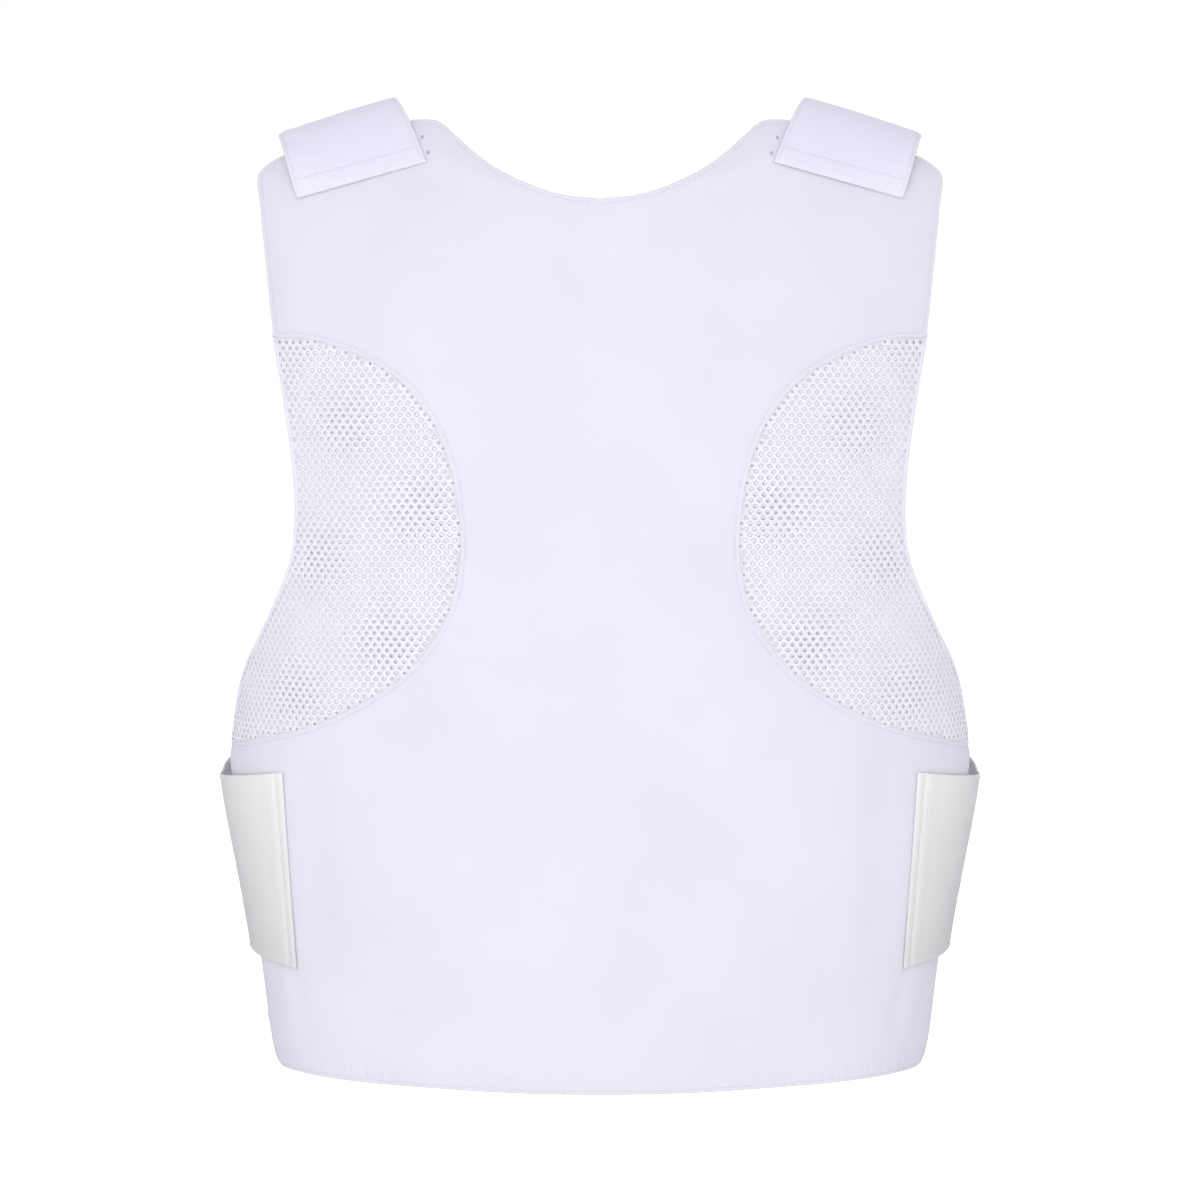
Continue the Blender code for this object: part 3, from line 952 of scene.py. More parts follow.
# %% [markdown]
# ## The shoulder straps
#
# A strap is a double layer of the vest's cloth, about 67 mm wide, that bends over the shoulder
# and lies on both panels.  Its ends are folded hems, so they are thicker, and thread runs round
# it 2 mm from its edges.  Its middle is crowned, and its outer edge stands off the shoulder and
# rolls down at the rim.  It could be bent with a curve modifier, but here it is a grid over the
# shoulder with the turn as one coordinate and x as the other.

# %% Straps over the shoulder
# The inner and outer edges go from their x at the ridge to their x at the ends, which lie
# END_TURN away from the ridge.  SLANT turns the inner edge further, so the ends slant.
STRAP_RIDGE_IN = 0.1069
STRAP_RIDGE_OUT = 0.1683
STRAP_END_IN = {FRONT: 0.0880, BACK: 0.0940}
STRAP_END_OUT = {FRONT: 0.1550, BACK: 0.1600}
STRAP_END_TURN = math.radians(32.7)
STRAP_SLANT = 0.045
STRAP_LEAN = 0.75
STRAP_CROWN = 0.0010
STRAP_EDGE_LIFT = 0.0014
STRAP_EDGE_ROLL = 0.0012
STRAP_ROLL_WIDTH = 0.0024
STRAP_EDGE_ROUND = 0.0011
STRAP_WIDTH = 0.0675
STRAP_THICK = 0.0018
STRAP_HEM = 0.0100
STRAP_HEM_EXTRA = 0.0004
STRAP_HEM_SOFT = 0.0008
STRAP_HEM_THREAD = STRAP_HEM + 0.0003
STRAP_HEM_GROOVE = 0.5 * GROOVE
STRAP_HEM_GROOVE_WIDTH = 0.0006
STRAP_THREAD_IN = 0.0020
STRAP_GROOVE_WIDTH = 0.0005
STRAP_END_THREAD = 0.0018
STRAP_END_GROOVE = 0.6 * GROOVE
STRAP_LOW = 0.0003
STRAP_OUTER_LIFT = 0.0034
STRAP_WRINKLE = 0.00012
STRAP_PUFF = 0.00008
STRAP_TURNS = 801


def over_shoulder(x, turn):
    """The body at x, a turn away from the shoulder's ridge, below nothing at the front.

    The level drops from the sloping shoulder line by the shoulder's round times 1 - cos turn.
    """
    x, turn = np.broadcast_arrays(x, turn)
    drop = SHOULDER_ROUND * (1 - np.cos(turn))
    level = -math.tan(SHOULDER_SLOPE) * (np.abs(x) - SHOULDER_X) - drop
    y = np.where(turn < 0, -depth(x, level, FRONT), depth(x, level, BACK))
    return np.stack([x, y, level], axis=-1)


def strap_edges(turn):
    """Where the strap's inner and outer edges lie at a turn, out from the centre."""
    part = ((1 - np.cos(turn)) / (1 - math.cos(STRAP_END_TURN))) ** STRAP_LEAN
    end_in = np.where(turn < 0, STRAP_END_IN[FRONT], STRAP_END_IN[BACK])
    end_out = np.where(turn < 0, STRAP_END_OUT[FRONT], STRAP_END_OUT[BACK])
    return (STRAP_RIDGE_IN + (end_in - STRAP_RIDGE_IN) * part,
            STRAP_RIDGE_OUT + (end_out - STRAP_RIDGE_OUT) * part)


strap_turns = np.linspace(-STRAP_END_TURN, STRAP_END_TURN, STRAP_TURNS)
strap_middle = over_shoulder(np.mean(strap_edges(strap_turns), axis=0), strap_turns)
strap_run = length_run(strap_middle)
STRAP_LENGTH = float(strap_run[-1])
print("strap length:", round(STRAP_LENGTH, 4))


def strap_lifts(along, across):
    """Lifts of the strap's outer and inner face at flat places.

    Grooves of thread run 2 mm inside the edges and at the hem.  The middle is crowned, the
    outer edge stands off the panel a little and rolls down at its rim, slack shows as faint
    wrinkles, and the faces close over a round edge.
    """
    to_end = np.minimum(along, STRAP_LENGTH - along)
    to_side = np.minimum(across, STRAP_WIDTH - across)
    way = np.minimum(to_end, to_side)
    free = np.sin(np.clip(to_end / (STRAP_LENGTH / 2), 0.0, 1.0) * math.pi / 2)
    low = STRAP_LOW + STRAP_CROWN * free * np.sin(math.pi * across / STRAP_WIDTH)
    low = low + STRAP_EDGE_LIFT * free * (across / STRAP_WIDTH) ** 6
    low = low - STRAP_EDGE_ROLL * free * ridge(across, STRAP_WIDTH, STRAP_ROLL_WIDTH)
    low = low + STRAP_OUTER_LIFT * np.sin(math.pi * free) * (across / STRAP_WIDTH) ** 3
    hem = before(to_end, STRAP_HEM, STRAP_HEM_SOFT)
    high = low + STRAP_THICK + STRAP_HEM_EXTRA * hem
    between = np.clip((to_side - 0.001) / 0.001, 0.0, 1.0)
    side_groove = GROOVE * ridge(to_side, STRAP_THREAD_IN, STRAP_GROOVE_WIDTH)
    hem_groove = STRAP_HEM_GROOVE * ridge(to_end, STRAP_HEM_THREAD, STRAP_HEM_GROOVE_WIDTH)
    end_groove = STRAP_END_GROOVE * ridge(to_end, STRAP_END_THREAD, STRAP_GROOVE_WIDTH)
    high = high - side_groove * np.clip(to_end / STRAP_THREAD_IN, 0.0, 1.0)
    high = high - hem_groove * between
    high = high - end_groove * between
    wrinkle = np.sin(across / 0.0041 + along / 0.009) * np.sin(along / 0.0075 + 0.5)
    high = high + STRAP_WRINKLE * wrinkle * np.clip(way / 0.006, 0.0, 1.0)
    puff = np.sin(across / 0.0017 + 0.7) * ridge(to_end, STRAP_HEM - 0.002, 0.004)
    high = high + STRAP_PUFF * puff
    close = (1 - rounded(way, STRAP_EDGE_ROUND)) * (high - low) / 2
    return high - close, low + close


def strap_place(along, across, side, lift):
    """Points of a strap from flat places: length to turn, width to x, then lifted.

    The turn grows towards the inner edge by the strap's slant.
    """
    turn = np.interp(along, strap_run, strap_turns)
    near, far = strap_edges(turn)
    x = side * (near + (far - near) * across / STRAP_WIDTH)
    bend = turn * (1 + STRAP_SLANT * (1 - across / STRAP_WIDTH))
    return lifted(over_shoulder, x, bend, lift)


def shoulder_strap(name, side):
    """A closed strap, from a grid of flat places."""
    along = edge_spaced(STRAP_LENGTH, fine=0.0004, near=0.0132, coarse=0.0016)
    across = edge_spaced(STRAP_WIDTH, fine=0.0004, near=0.0032, coarse=0.0014)
    return strip_piece(name, along, across, strap_lifts, strap_place, side)


straps = {side: shoulder_strap(f"shoulder_strap_cloth_{word}", side) for word, side in SIDES}
print("strap faces:", len(straps[1].data.polygons))

# %% [markdown]
# ## The side elastics
#
# The elastics are about 100 mm wide.  Each is sewn to the front panel, goes round the open
# side and ends on the back panel.  Stretched webbing runs straight between its ends, so its
# edges sag a little in height only, and its ends are folded to a lip that shows as a bright
# line with a shadow beside it.  Between the ends it stands off the body by up to 2 mm, so its
# inner face shows above its edge.

# %% Elastics round the waist
ELASTIC_END_TOP = -0.334
ELASTIC_END_TOP_X = 0.1622
ELASTIC_END_FOOT = -0.438
ELASTIC_END_FOOT_X = 0.1563
ELASTIC_SIDE_TOP = -0.344
ELASTIC_SIDE_FOOT = -0.435
ELASTIC_SAG = {FRONT: 1.5, BACK: 0.6}
ELASTIC_SOFT = 0.05
ELASTIC_THICK = 0.0015
ELASTIC_LIP = 0.0034
ELASTIC_LIP_EXTRA = 0.0004
ELASTIC_LIP_SOFT = 0.0007
ELASTIC_LOW = 0.0003
ELASTIC_STAND = 0.0020
ELASTIC_FOOT_STAND = 0.45
ELASTIC_WIDTH = 0.0980
ELASTIC_EDGE_ROUND = 0.0009
RIB_HEIGHT = 0.00005
RIB_PITCH = 0.0030

# The valley and the swell behind the lip, and the thicker long edge.  Columns: height, place,
# half width.
LIP_RELIEF = (
    (-0.0004, ELASTIC_LIP + 0.0010, 0.0009),
    (0.00035, ELASTIC_LIP + 0.0045, 0.0030),
)
LONG_EDGE_RELIEF = (0.00025, 0.0012, 0.0009)


def elastic_levels(place):
    """Top and foot of the elastic at a place from 1, the front end, to -1, the back end.

    Both run from the side's level to the end's by a power of the way from the side, which is
    softened to sqrt(place^2 + soft^2) so that the edge has no kink at the side.
    """
    sag = np.where(place > 0, ELASTIC_SAG[FRONT], ELASTIC_SAG[BACK])
    least, most = ELASTIC_SOFT ** sag, (1 + ELASTIC_SOFT ** 2) ** (sag / 2)
    rise = (np.hypot(place, ELASTIC_SOFT) ** sag - least) / (most - least)
    return (ELASTIC_SIDE_TOP + (ELASTIC_END_TOP - ELASTIC_SIDE_TOP) * rise,
            ELASTIC_SIDE_FOOT + (ELASTIC_END_FOOT - ELASTIC_SIDE_FOOT) * rise)


def elastic_girth(place, part):
    """Girth and level of the elastic at a place along it and a part of its width down.

    Each half reaches from the body's side to the line of its sewn end.
    """
    top, foot = elastic_levels(place)
    level = top + (foot - top) * part
    end_x = ELASTIC_END_TOP_X + (ELASTIC_END_FOOT_X - ELASTIC_END_TOP_X) * part
    end_x, level = np.broadcast_arrays(end_x, level)
    side = {face: side_girth(level, face) for face in (FRONT, BACK)}
    front = side[FRONT] - place * (side[FRONT] - girth_at(end_x, level, FRONT))
    back = half_girth(level) - side[BACK] - place * (side[BACK] - girth_at(end_x, level, BACK))
    return np.where(place > 0, front, back), level


end_girth, _ = elastic_girth(np.array([1.0, -1.0]), 0.5)
ELASTIC_LENGTH = float(end_girth[1] - end_girth[0])
print("elastic length:", round(ELASTIC_LENGTH, 4))


def elastic_lifts(along, across):
    """Lifts of the elastic's outer and inner face.

    It stands off the side, less so towards its foot.  A lip at both ends has a valley and a
    swell behind it, the long edges are a little thicker, and soft ribs run along.
    """
    to_end = np.minimum(along, ELASTIC_LENGTH - along)
    to_side = np.minimum(across, ELASTIC_WIDTH - across)
    lip = before(to_end, ELASTIC_LIP, ELASTIC_LIP_SOFT)
    place = 1 - 2 * along / ELASTIC_LENGTH
    stand = ELASTIC_STAND * (1 - place ** 2)
    low = ELASTIC_LOW + stand * (1 - ELASTIC_FOOT_STAND * across / ELASTIC_WIDTH)
    high = low + ELASTIC_THICK + ELASTIC_LIP_EXTRA * lip
    for height, middle, width in LIP_RELIEF:
        high = high + height * ridge(to_end, middle, width)
    height, middle, width = LONG_EDGE_RELIEF
    high = high + height * ridge(to_side, middle, width)
    high = high + RIB_HEIGHT * np.cos(across * 2 * math.pi / RIB_PITCH)
    way = np.minimum(to_end, to_side)
    close = (1 - rounded(way, ELASTIC_EDGE_ROUND)) * (high - low) / 2
    return high - close, low + close


def elastic_place(along, across, side, lift):
    """Points of an elastic from flat places, front end first, lifted off the body."""
    place = 1 - 2 * along / ELASTIC_LENGTH
    girth, level = elastic_girth(place, across / ELASTIC_WIDTH)
    return lifted(panel_surface(FRONT), side * girth, level, lift)


def side_elastic(name, side):
    """A closed elastic, from a grid of flat places."""
    along = edge_spaced(ELASTIC_LENGTH, fine=0.0004, near=0.0060, coarse=0.0015)
    across = edge_spaced(ELASTIC_WIDTH, fine=0.0004, near=0.0024, coarse=0.0010)
    return strip_piece(name, along, across, elastic_lifts, elastic_place, side)


elastics = {side: side_elastic(f"side_elastic_{word}", side) for word, side in SIDES}
print("elastic faces:", len(elastics[1].data.polygons))

# %% [markdown]
# ## Thread
#
# White thread on white cloth hardly shows, yet without it an edge looks moulded.  A stitch is
# a tiny spindle whose ends dip into the cloth.  One spindle is worked out and carried to each
# place along the sewing lines, so thousands of them are a single array.  On the panels and
# straps the thread is painted greyer than the cloth, as painted shade where the stitches dip in.
# Two small tacks, each of five short stitches side by side, stand beside both straps' ends on
# the front; their thread is painted darker still, as painted shade of the small dents there.

# %% Sewing lines
STITCH_PITCH = 0.0030
STITCH_LENGTH = 0.0024
STITCH_RADIUS = 0.00021
# The tacks stand where small dents beside the straps' ends are in shade; their dark thread is
# painted shade.
TACKS = ((0.0941, -0.0103), (0.0897, -0.0188))
TACK_RUN = (-0.42, -0.91)
TACK_HALF_LENGTH = 0.00125
TACK_SHIFTS = (-0.0007, -0.00035, 0.0, 0.00035, 0.0007)
HOOK_PLACE = 0.0072
LIP_THREAD = ELASTIC_LIP + 0.0008
BAND_THREAD = BAND_WIDTH + 0.0002
EVEN_STEP = 0.001
SEAM_TOUCH = 1e-4
LEAST_RUN = 12
ENDS_OFF = 2

# The elastic's sewing lines at an end: along the lip, and a hook of two lines at the top.
# Columns of each point: place across, place along from the end.
ELASTIC_THREAD = (
    ((0.0015, LIP_THREAD), (ELASTIC_WIDTH - 0.0015, LIP_THREAD)),
    ((0.0020, HOOK_PLACE), (0.0125, HOOK_PLACE)),
    ((0.0130, HOOK_PLACE - 0.0018), (0.0130, HOOK_PLACE + 0.004)),
)

# A spindle's rings: how far out along its half length, how wide, and how deep they and the
# tips sink into the cloth.  Widths, depths and the seat's height are shares of the radius.
SPINDLE_SIDES = 6
RING_SINK = 1.1
TIP_SINK = 1.7
SEAT_HEIGHT = 0.6
spindle_t = np.array([-0.82, 0.0, 0.82])
spindle_r = np.array([0.62, 1.0, 0.62])
spindle_v = np.arange(SPINDLE_SIDES) * 2 * math.pi / SPINDLE_SIDES


def points_at(line, ways):
    """Points of a flat line at lengths run along it."""
    run = length_run(line)
    return np.column_stack([np.interp(ways, run, line[:, k]) for k in (0, 1)])


def evened(line):
    """The flat line with points at even steps."""
    return points_at(line, np.arange(0.0, length_run(line)[-1], EVEN_STEP))


def stitch_ends(line):
    """Starts and ends of the stitches along a flat line."""
    first = np.arange(0.0, length_run(line)[-1] - STITCH_LENGTH, STITCH_PITCH)
    return points_at(line, first), points_at(line, first + STITCH_LENGTH)


def spindles(start, end, up):
    """Points and faces of one spindle from each start to each end.

    A ring at t of the half length has a radius of its own and sinks by t^2 into the cloth.
    """
    middle, half = (start + end) / 2, (end - start) / 2
    along, up = unit(half), unit(up)
    across = np.cross(along, up)
    ring = (across[:, None] * np.cos(spindle_v)[:, None] + up[:, None] * np.sin(spindle_v)[:, None])
    sink = -RING_SINK * STITCH_RADIUS * spindle_t ** 2
    rings = (middle[:, None, None] + half[:, None, None] * spindle_t[:, None, None]
             + up[:, None, None] * sink[:, None, None]
             + ring[:, None] * (STITCH_RADIUS * spindle_r)[:, None, None])
    tips = np.stack([start, end], axis=1) - up[:, None] * TIP_SINK * STITCH_RADIUS
    count = len(start)
    each = 3 * SPINDLE_SIDES + 2
    points = np.concatenate([rings.reshape(count, -1, 3), tips], axis=1).reshape(-1, 3)
    number = np.arange(3 * SPINDLE_SIDES).reshape(3, SPINDLE_SIDES)
    ahead = np.roll(number, -1, axis=1)
    quads = np.stack([number[:-1], ahead[:-1], ahead[1:], number[1:]], axis=-1).reshape(-1, 4)
    first = np.column_stack([ahead[0], number[0], np.full(SPINDLE_SIDES, each - 2)])
    last = np.column_stack([number[2], ahead[2], np.full(SPINDLE_SIDES, each - 1)])
    halves = np.vstack([quads[:, [0, 1, 2]], quads[:, [0, 2, 3]], first, last])
    faces = (np.arange(count)[:, None, None] * each + halves).reshape(-1, 3)
    return points, faces


def sewn(name, lines, place, seat):
    """Stitches along flat lines, seated on the cloth by a function of flat places."""
    starts, ends = zip(*(stitch_ends(line) for line in lines))
    start, end = np.vstack(starts), np.vstack(ends)
    low, high = seat(start), seat(end)
    first = place(start, low + STITCH_RADIUS * SEAT_HEIGHT)
    last = place(end, high + STITCH_RADIUS * SEAT_HEIGHT)
    up = place((start + end) / 2, low + NUDGE) - place((start + end) / 2, low)
    points, faces = spindles(first, last, up)
    return mesh_piece(name, points, faces)


def on_panel(face):
    """Two functions of flat places on a panel: the points at a lift, and the skin's lift."""
    def place(flat, lift):
        return lifted(panel_surface(face), flat[:, 0], flat[:, 1], lift)

    def seat(flat):
        return panel_relief(flat, face)[0]

    return place, seat


def on_strip(strip_place, lifts, side):
    """The same for a strap or an elastic, whose flat places are its width, then its length."""
    def place(flat, lift):
        return strip_place(flat[:, 1], flat[:, 0], side, lift)

    def seat(flat):
        return lifts(flat[:, 1], flat[:, 0])[0]

    return place, seat


def panel_sewing(face):
    """Sewing lines of a panel: one inside the turned edges and one beside the net.

    The outline is split where the seam with the net begins or ends.  Each run leaves out its
    first and last points, and very short ones aren't sewn.
    """
    outline = outlines[face]
    half = np.column_stack([np.abs(outline[:, 0]), outline[:, 1]])
    to_seam = nearest_on(half, edge_lines[face]["seam"])[0]
    plain = to_seam > SEAM_TOUCH
    turned = outline + inward(outline) * STITCH_IN
    band = outline + inward(outline) * BAND_THREAD
    lines = []
    for chosen, points in ((plain, turned), (~plain, band)):
        turns = np.flatnonzero(np.diff(chosen.astype(int)))
        for part in np.split(np.arange(len(outline)), turns + 1):
            if chosen[part[0]] and len(part) > LEAST_RUN:
                lines.append(points[part][ENDS_OFF:-ENDS_OFF])
    return lines


def tack_lines():
    """Short stitches side by side: the tacks beside each strap's end, left and right."""
    rows = []
    for tack in TACKS:
        for shift in TACK_SHIFTS:
            middle = np.array(tack) + shift * np.array([-TACK_RUN[1], TACK_RUN[0]])
            rows.append(middle + TACK_HALF_LENGTH * np.outer((-1, 1), TACK_RUN))
    return rows + [row * (-1, 1) for row in rows]


thread = []
for word, face in FACES:
    thread.append(sewn(f"{word}_panel_stitching", panel_sewing(face), *on_panel(face)))
    if face == FRONT:
        tacks = sewn("front_panel_tacks", tack_lines(), *on_panel(face))


def strap_sewing():
    """Sewing lines of a strap: both long edges, and a line across at each hem."""
    near, wide = STRAP_THREAD_IN, STRAP_WIDTH - STRAP_THREAD_IN
    hem, far = STRAP_HEM_THREAD, STRAP_LENGTH - STRAP_HEM_THREAD
    rows = [[(across, near), (across, STRAP_LENGTH - near)] for across in (near, wide)]
    rows += [[(near, along), (wide, along)] for along in (hem, far)]
    return [evened(np.array(row)) for row in rows]


def elastic_sewing():
    """Sewing lines of an elastic, at both its ends."""
    rows = []
    for end, into in ((0.0, 1), (ELASTIC_LENGTH, -1)):
        for row in ELASTIC_THREAD:
            rows.append([(across, end + into * along) for across, along in row])
    return [evened(np.array(row)) for row in rows]


for word, side in SIDES:
    seating = on_strip(strap_place, strap_lifts, side)
    thread.append(sewn(f"shoulder_strap_stitching_{word}", strap_sewing(), *seating))
for word, side in SIDES:
    seating = on_strip(elastic_place, elastic_lifts, side)
    thread.append(sewn(f"side_elastic_stitching_{word}", elastic_sewing(), *seating))
print("stitching faces:", sum(len(piece.data.polygons) for piece in thread))

# %% [markdown]
# ## Finishes
#
# The cloth is a fine white plain weave with a cold, lavender tint.  The straps' cloth is painted a
# little lighter and bluer, as painted light.  The net is a matt white yarn; its inner layer is
# painted a little darker and more lavender, as painted shade of the holes' floors, and its rolled
# edge is painted darker, as painted shade.  The elastic is a slightly greenish white with a ribbed
# face, with painted shade that darkens it towards its foot and round the side.  The patterns
# follow the cloth's own UV map, which is in metres, so the yarns have their real size.


# %% Shader helpers
WAVE_REPEAT = 0.314


def new_material(name, roughness, sheen):
    """A material with its principled shader, and the socket values that never change."""
    material = bpy.data.materials.new(name)
    material.use_nodes = True
    shader = material.node_tree.nodes["Principled BSDF"]
    shader.inputs["Roughness"].default_value = roughness
    shader.inputs["Sheen Weight"].default_value = sheen
    shader.inputs["Sheen Roughness"].default_value = 0.5
    shader.inputs["Specular IOR Level"].default_value = 0.25
    return material, material.node_tree, shader


def add(tree, kind, **values):
    """A node of a kind, with its attributes and inputs set by name."""
    node = tree.nodes.new(kind)
    for key, value in values.items():
        if hasattr(node, key):
            setattr(node, key, value)
        else:
            node.inputs[key.replace("_", " ").title()].default_value = value
    return node


def maths(tree, operation, *values):
    """The result of a math node whose inputs are sockets or plain numbers."""
    node = add(tree, "ShaderNodeMath", operation=operation)
    for socket, value in zip(node.inputs, values):
        if isinstance(value, bpy.types.NodeSocket):
            tree.links.new(value, socket)
        else:
            socket.default_value = value
    return node.outputs[0]


def bumped(tree, shader, height, strength, distance):
    """A bump of the shader's surface by a height, which is a socket."""
    bump = add(tree, "ShaderNodeBump", strength=strength, distance=distance)
    tree.links.new(height, bump.inputs["Height"])
    tree.links.new(bump.outputs["Normal"], shader.inputs["Normal"])


def cloth_places(tree):
    """The flat cloth coordinates of a piece: its UV map, in metres."""
    return add(tree, "ShaderNodeUVMap", uv_map="cloth").outputs["UV"]


def tinted(tree, shader, source, tints, scale):
    """Base colour that wanders slowly between two near tints."""
    noise = add(tree, "ShaderNodeTexNoise", scale=scale, detail=3.0)
    ramp = add(tree, "ShaderNodeValToRGB")
    ramp.color_ramp.elements[0].position = 0.35
    ramp.color_ramp.elements[1].position = 0.65
    ramp.color_ramp.elements[0].color = (*tints[0], 1.0)
    ramp.color_ramp.elements[1].color = (*tints[1], 1.0)
    tree.links.new(source, noise.inputs["Vector"])
    tree.links.new(noise.outputs["Fac"], ramp.inputs["Fac"])
    tree.links.new(ramp.outputs["Color"], shader.inputs["Base Color"])


def woven(tree, shader, source, across, along, strength, depth_of_yarn):
    """Bump of a weave: two sets of waves, across and along, added up.

    A wave node repeats every tenth of pi at scale 1, so the scale is that over the pitch.
    """
    waves = []
    for direction, pitch in (("X", across), ("Y", along)):
        wave = add(tree, "ShaderNodeTexWave", wave_type="BANDS", bands_direction=direction,
                   scale=WAVE_REPEAT / pitch, distortion=0.6, detail=1.0)
        tree.links.new(source, wave.inputs["Vector"])
        waves.append(wave.outputs["Fac"])
    bumped(tree, shader, maths(tree, "ADD", *waves), strength, depth_of_yarn)


# %% The finishes
# Painted shade on the elastic: its colour darkens towards its foot and round the side, where it
# turns from the light.
ELASTIC_TOP_SHADE_FACTOR = 0.99
ELASTIC_FOOT_PAINTED_SHADE = 0.15
ELASTIC_SIDE_PAINTED_SHADE = 0.16


def cloth_finish(name, tints):
    """Plain weave with a yarn every 0.45 mm."""
    material, tree, shader = new_material(name, roughness=0.85, sheen=0.10)
    uv = cloth_places(tree)
    tinted(tree, shader, uv, tints, scale=14.0)
    woven(tree, shader, uv, across=0.00045, along=0.00045, strength=0.25, depth_of_yarn=0.00006)
    return material


def net_finish(name, tints):
    """Matt yarn with fine knitted ribs, through which some light passes."""
    material, tree, shader = new_material(name, roughness=0.80, sheen=0.10)
    shader.inputs["Subsurface Weight"].default_value = 0.4
    shader.inputs["Subsurface Radius"].default_value = (1.0, 1.0, 1.0)
    shader.inputs["Subsurface Scale"].default_value = 0.0012
    uv = cloth_places(tree)
    tinted(tree, shader, uv, tints, scale=60.0)
    woven(tree, shader, uv, across=0.00040, along=0.00060, strength=0.30, depth_of_yarn=0.00006)
    return material


def with_painted_shade(tree, shader, source):
    """Base colour times painted shade that darkens the elastic towards its foot and round the side.

    The shade factor is (top - foot across / width) (1 - side sin^2(pi along / length)).
    """
    colour = shader.inputs["Base Color"].links[0].from_socket
    places = add(tree, "ShaderNodeSeparateXYZ")
    tree.links.new(source, places.inputs["Vector"])
    fall = -ELASTIC_FOOT_PAINTED_SHADE / ELASTIC_WIDTH
    foot = maths(tree, "MULTIPLY_ADD", places.outputs["X"], fall, ELASTIC_TOP_SHADE_FACTOR)
    turn = maths(tree, "MULTIPLY", places.outputs["Y"], math.pi / ELASTIC_LENGTH)
    swing = maths(tree, "POWER", maths(tree, "SINE", turn), 2.0)
    side = maths(tree, "MULTIPLY_ADD", swing, -ELASTIC_SIDE_PAINTED_SHADE, 1.0)
    scaled = add(tree, "ShaderNodeVectorMath", operation="SCALE")
    tree.links.new(colour, scaled.inputs["Vector"])
    tree.links.new(maths(tree, "MULTIPLY", foot, side), scaled.inputs["Scale"])
    tree.links.new(scaled.outputs["Vector"], shader.inputs["Base Color"])


def elastic_finish():
    """Ribbed elastic with a slight gloss."""
    material, tree, shader = new_material("elastic_webbing", roughness=0.62, sheen=0.05)
    uv = cloth_places(tree)
    tinted(tree, shader, uv, ((0.800, 0.806, 0.782), (0.830, 0.836, 0.810)), scale=22.0)
    # Painted shade: darker towards the foot and round the side.
    with_painted_shade(tree, shader, uv)
    woven(tree, shader, uv, across=0.00090, along=0.00050, strength=0.35, depth_of_yarn=0.00010)
    return material


def thread_finish(name, tints):
    """Twisted thread in two near tints."""
    material, tree, shader = new_material(name, roughness=0.60, sheen=0.10)
    place = add(tree, "ShaderNodeTexCoord").outputs["Object"]
    tinted(tree, shader, place, tints, scale=300.0)
    noise = add(tree, "ShaderNodeTexNoise", scale=5000.0)
    tree.links.new(place, noise.inputs["Vector"])
    bumped(tree, shader, noise.outputs["Fac"], strength=0.3, distance=0.00005)
    return material


finishes = {
    "cloth": cloth_finish("woven_cloth", ((0.717, 0.709, 0.772), (0.741, 0.733, 0.794))),
    # The straps' cloth is the vest's cloth painted a little lighter and bluer: painted light on the
    # straps.
    "strap_cloth_painted_light": cloth_finish("strap_cloth_painted_light", ((0.757, 0.750, 0.836), (0.781, 0.774, 0.856))),
    "net": net_finish("net_yarn", ((0.852, 0.852, 0.904), (0.872, 0.872, 0.924))),
    # The inner layer is the same net yarn painted slightly darker and more lavender: painted shade
    # of the hole floors.
    "net_inner_painted_shade": net_finish("net_inner_painted_shade", ((0.840, 0.830, 0.918), (0.872, 0.862, 0.945))),
    # The rolled edge is the same yarn painted darker: painted shade.
    "net_edge": net_finish("net_edge", ((0.770, 0.768, 0.820), (0.790, 0.788, 0.840))),
    "elastic": elastic_finish(),
    # The white sewing thread painted greyer than the cloth: painted shade of the stitches' dips.
    "thread": thread_finish("sewing_thread_painted_shade", ((0.630, 0.622, 0.715), (0.675, 0.668, 0.760))),
    # Tack thread painted dark lavender: real tacks, with the shade of the small dents painted into
    # them.
    "tack_thread_painted_shade": thread_finish("tack_thread_painted_shade", ((0.52, 0.50, 0.67), (0.56, 0.54, 0.71))),
    "elastic_thread": thread_finish("elastic_thread", ((0.80, 0.81, 0.80), (0.83, 0.84, 0.83))),
}

# %% [markdown]
# ## Fasten everything to the frame
#
# Each sewn piece takes the place of the plain solid that the frame holds for it, and rides on the
# one body.


# %% Finishes and bodies
def dress(piece, finish, slot, *nodes):
    """Give a piece its finish, let it ride on the body, and stand for its nodes.  Its slot is not
    used.
    """
    piece.data.materials.append(finishes[finish])
    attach(piece, "root")
    if nodes:
        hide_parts(*nodes)


for word, face in FACES:
    dress(panels[face], "cloth", "vest_fabric", f"{word}_panel")
    outline = net_outline(face)
    for side_word, side in SIDES:
        for layer in ("outer", "inner"):
            piece = nets[face, side, layer]
            finish = "net" if layer == "outer" else "net_inner_painted_shade"
            dress(piece, finish, "air_mesh", f"{word}_mesh_{side_word}")

for word, side in SIDES:
    dress(straps[side], "strap_cloth_painted_light", "vest_fabric", f"shoulder_strap_{word}")
    dress(elastics[side], "elastic", "side_elastic", f"side_strap_{word}")

for piece in net_edges:
    dress(piece, "net_edge", "air_mesh")

dress(tacks, "tack_thread_painted_shade", "vest_fabric")

for piece in thread:
    if "elastic" in piece.name:
        dress(piece, "elastic_thread", "side_elastic")
    else:
        dress(piece, "thread", "vest_fabric")

# %% [markdown]
# ## Studio
#
# The photograph is taken with a long lens, a little above the chest, against pure white.  The
# light is soft and comes from all round, somewhat stronger from the front, so folds show only
# as faint shade.  A pale floor lies well below the hem.

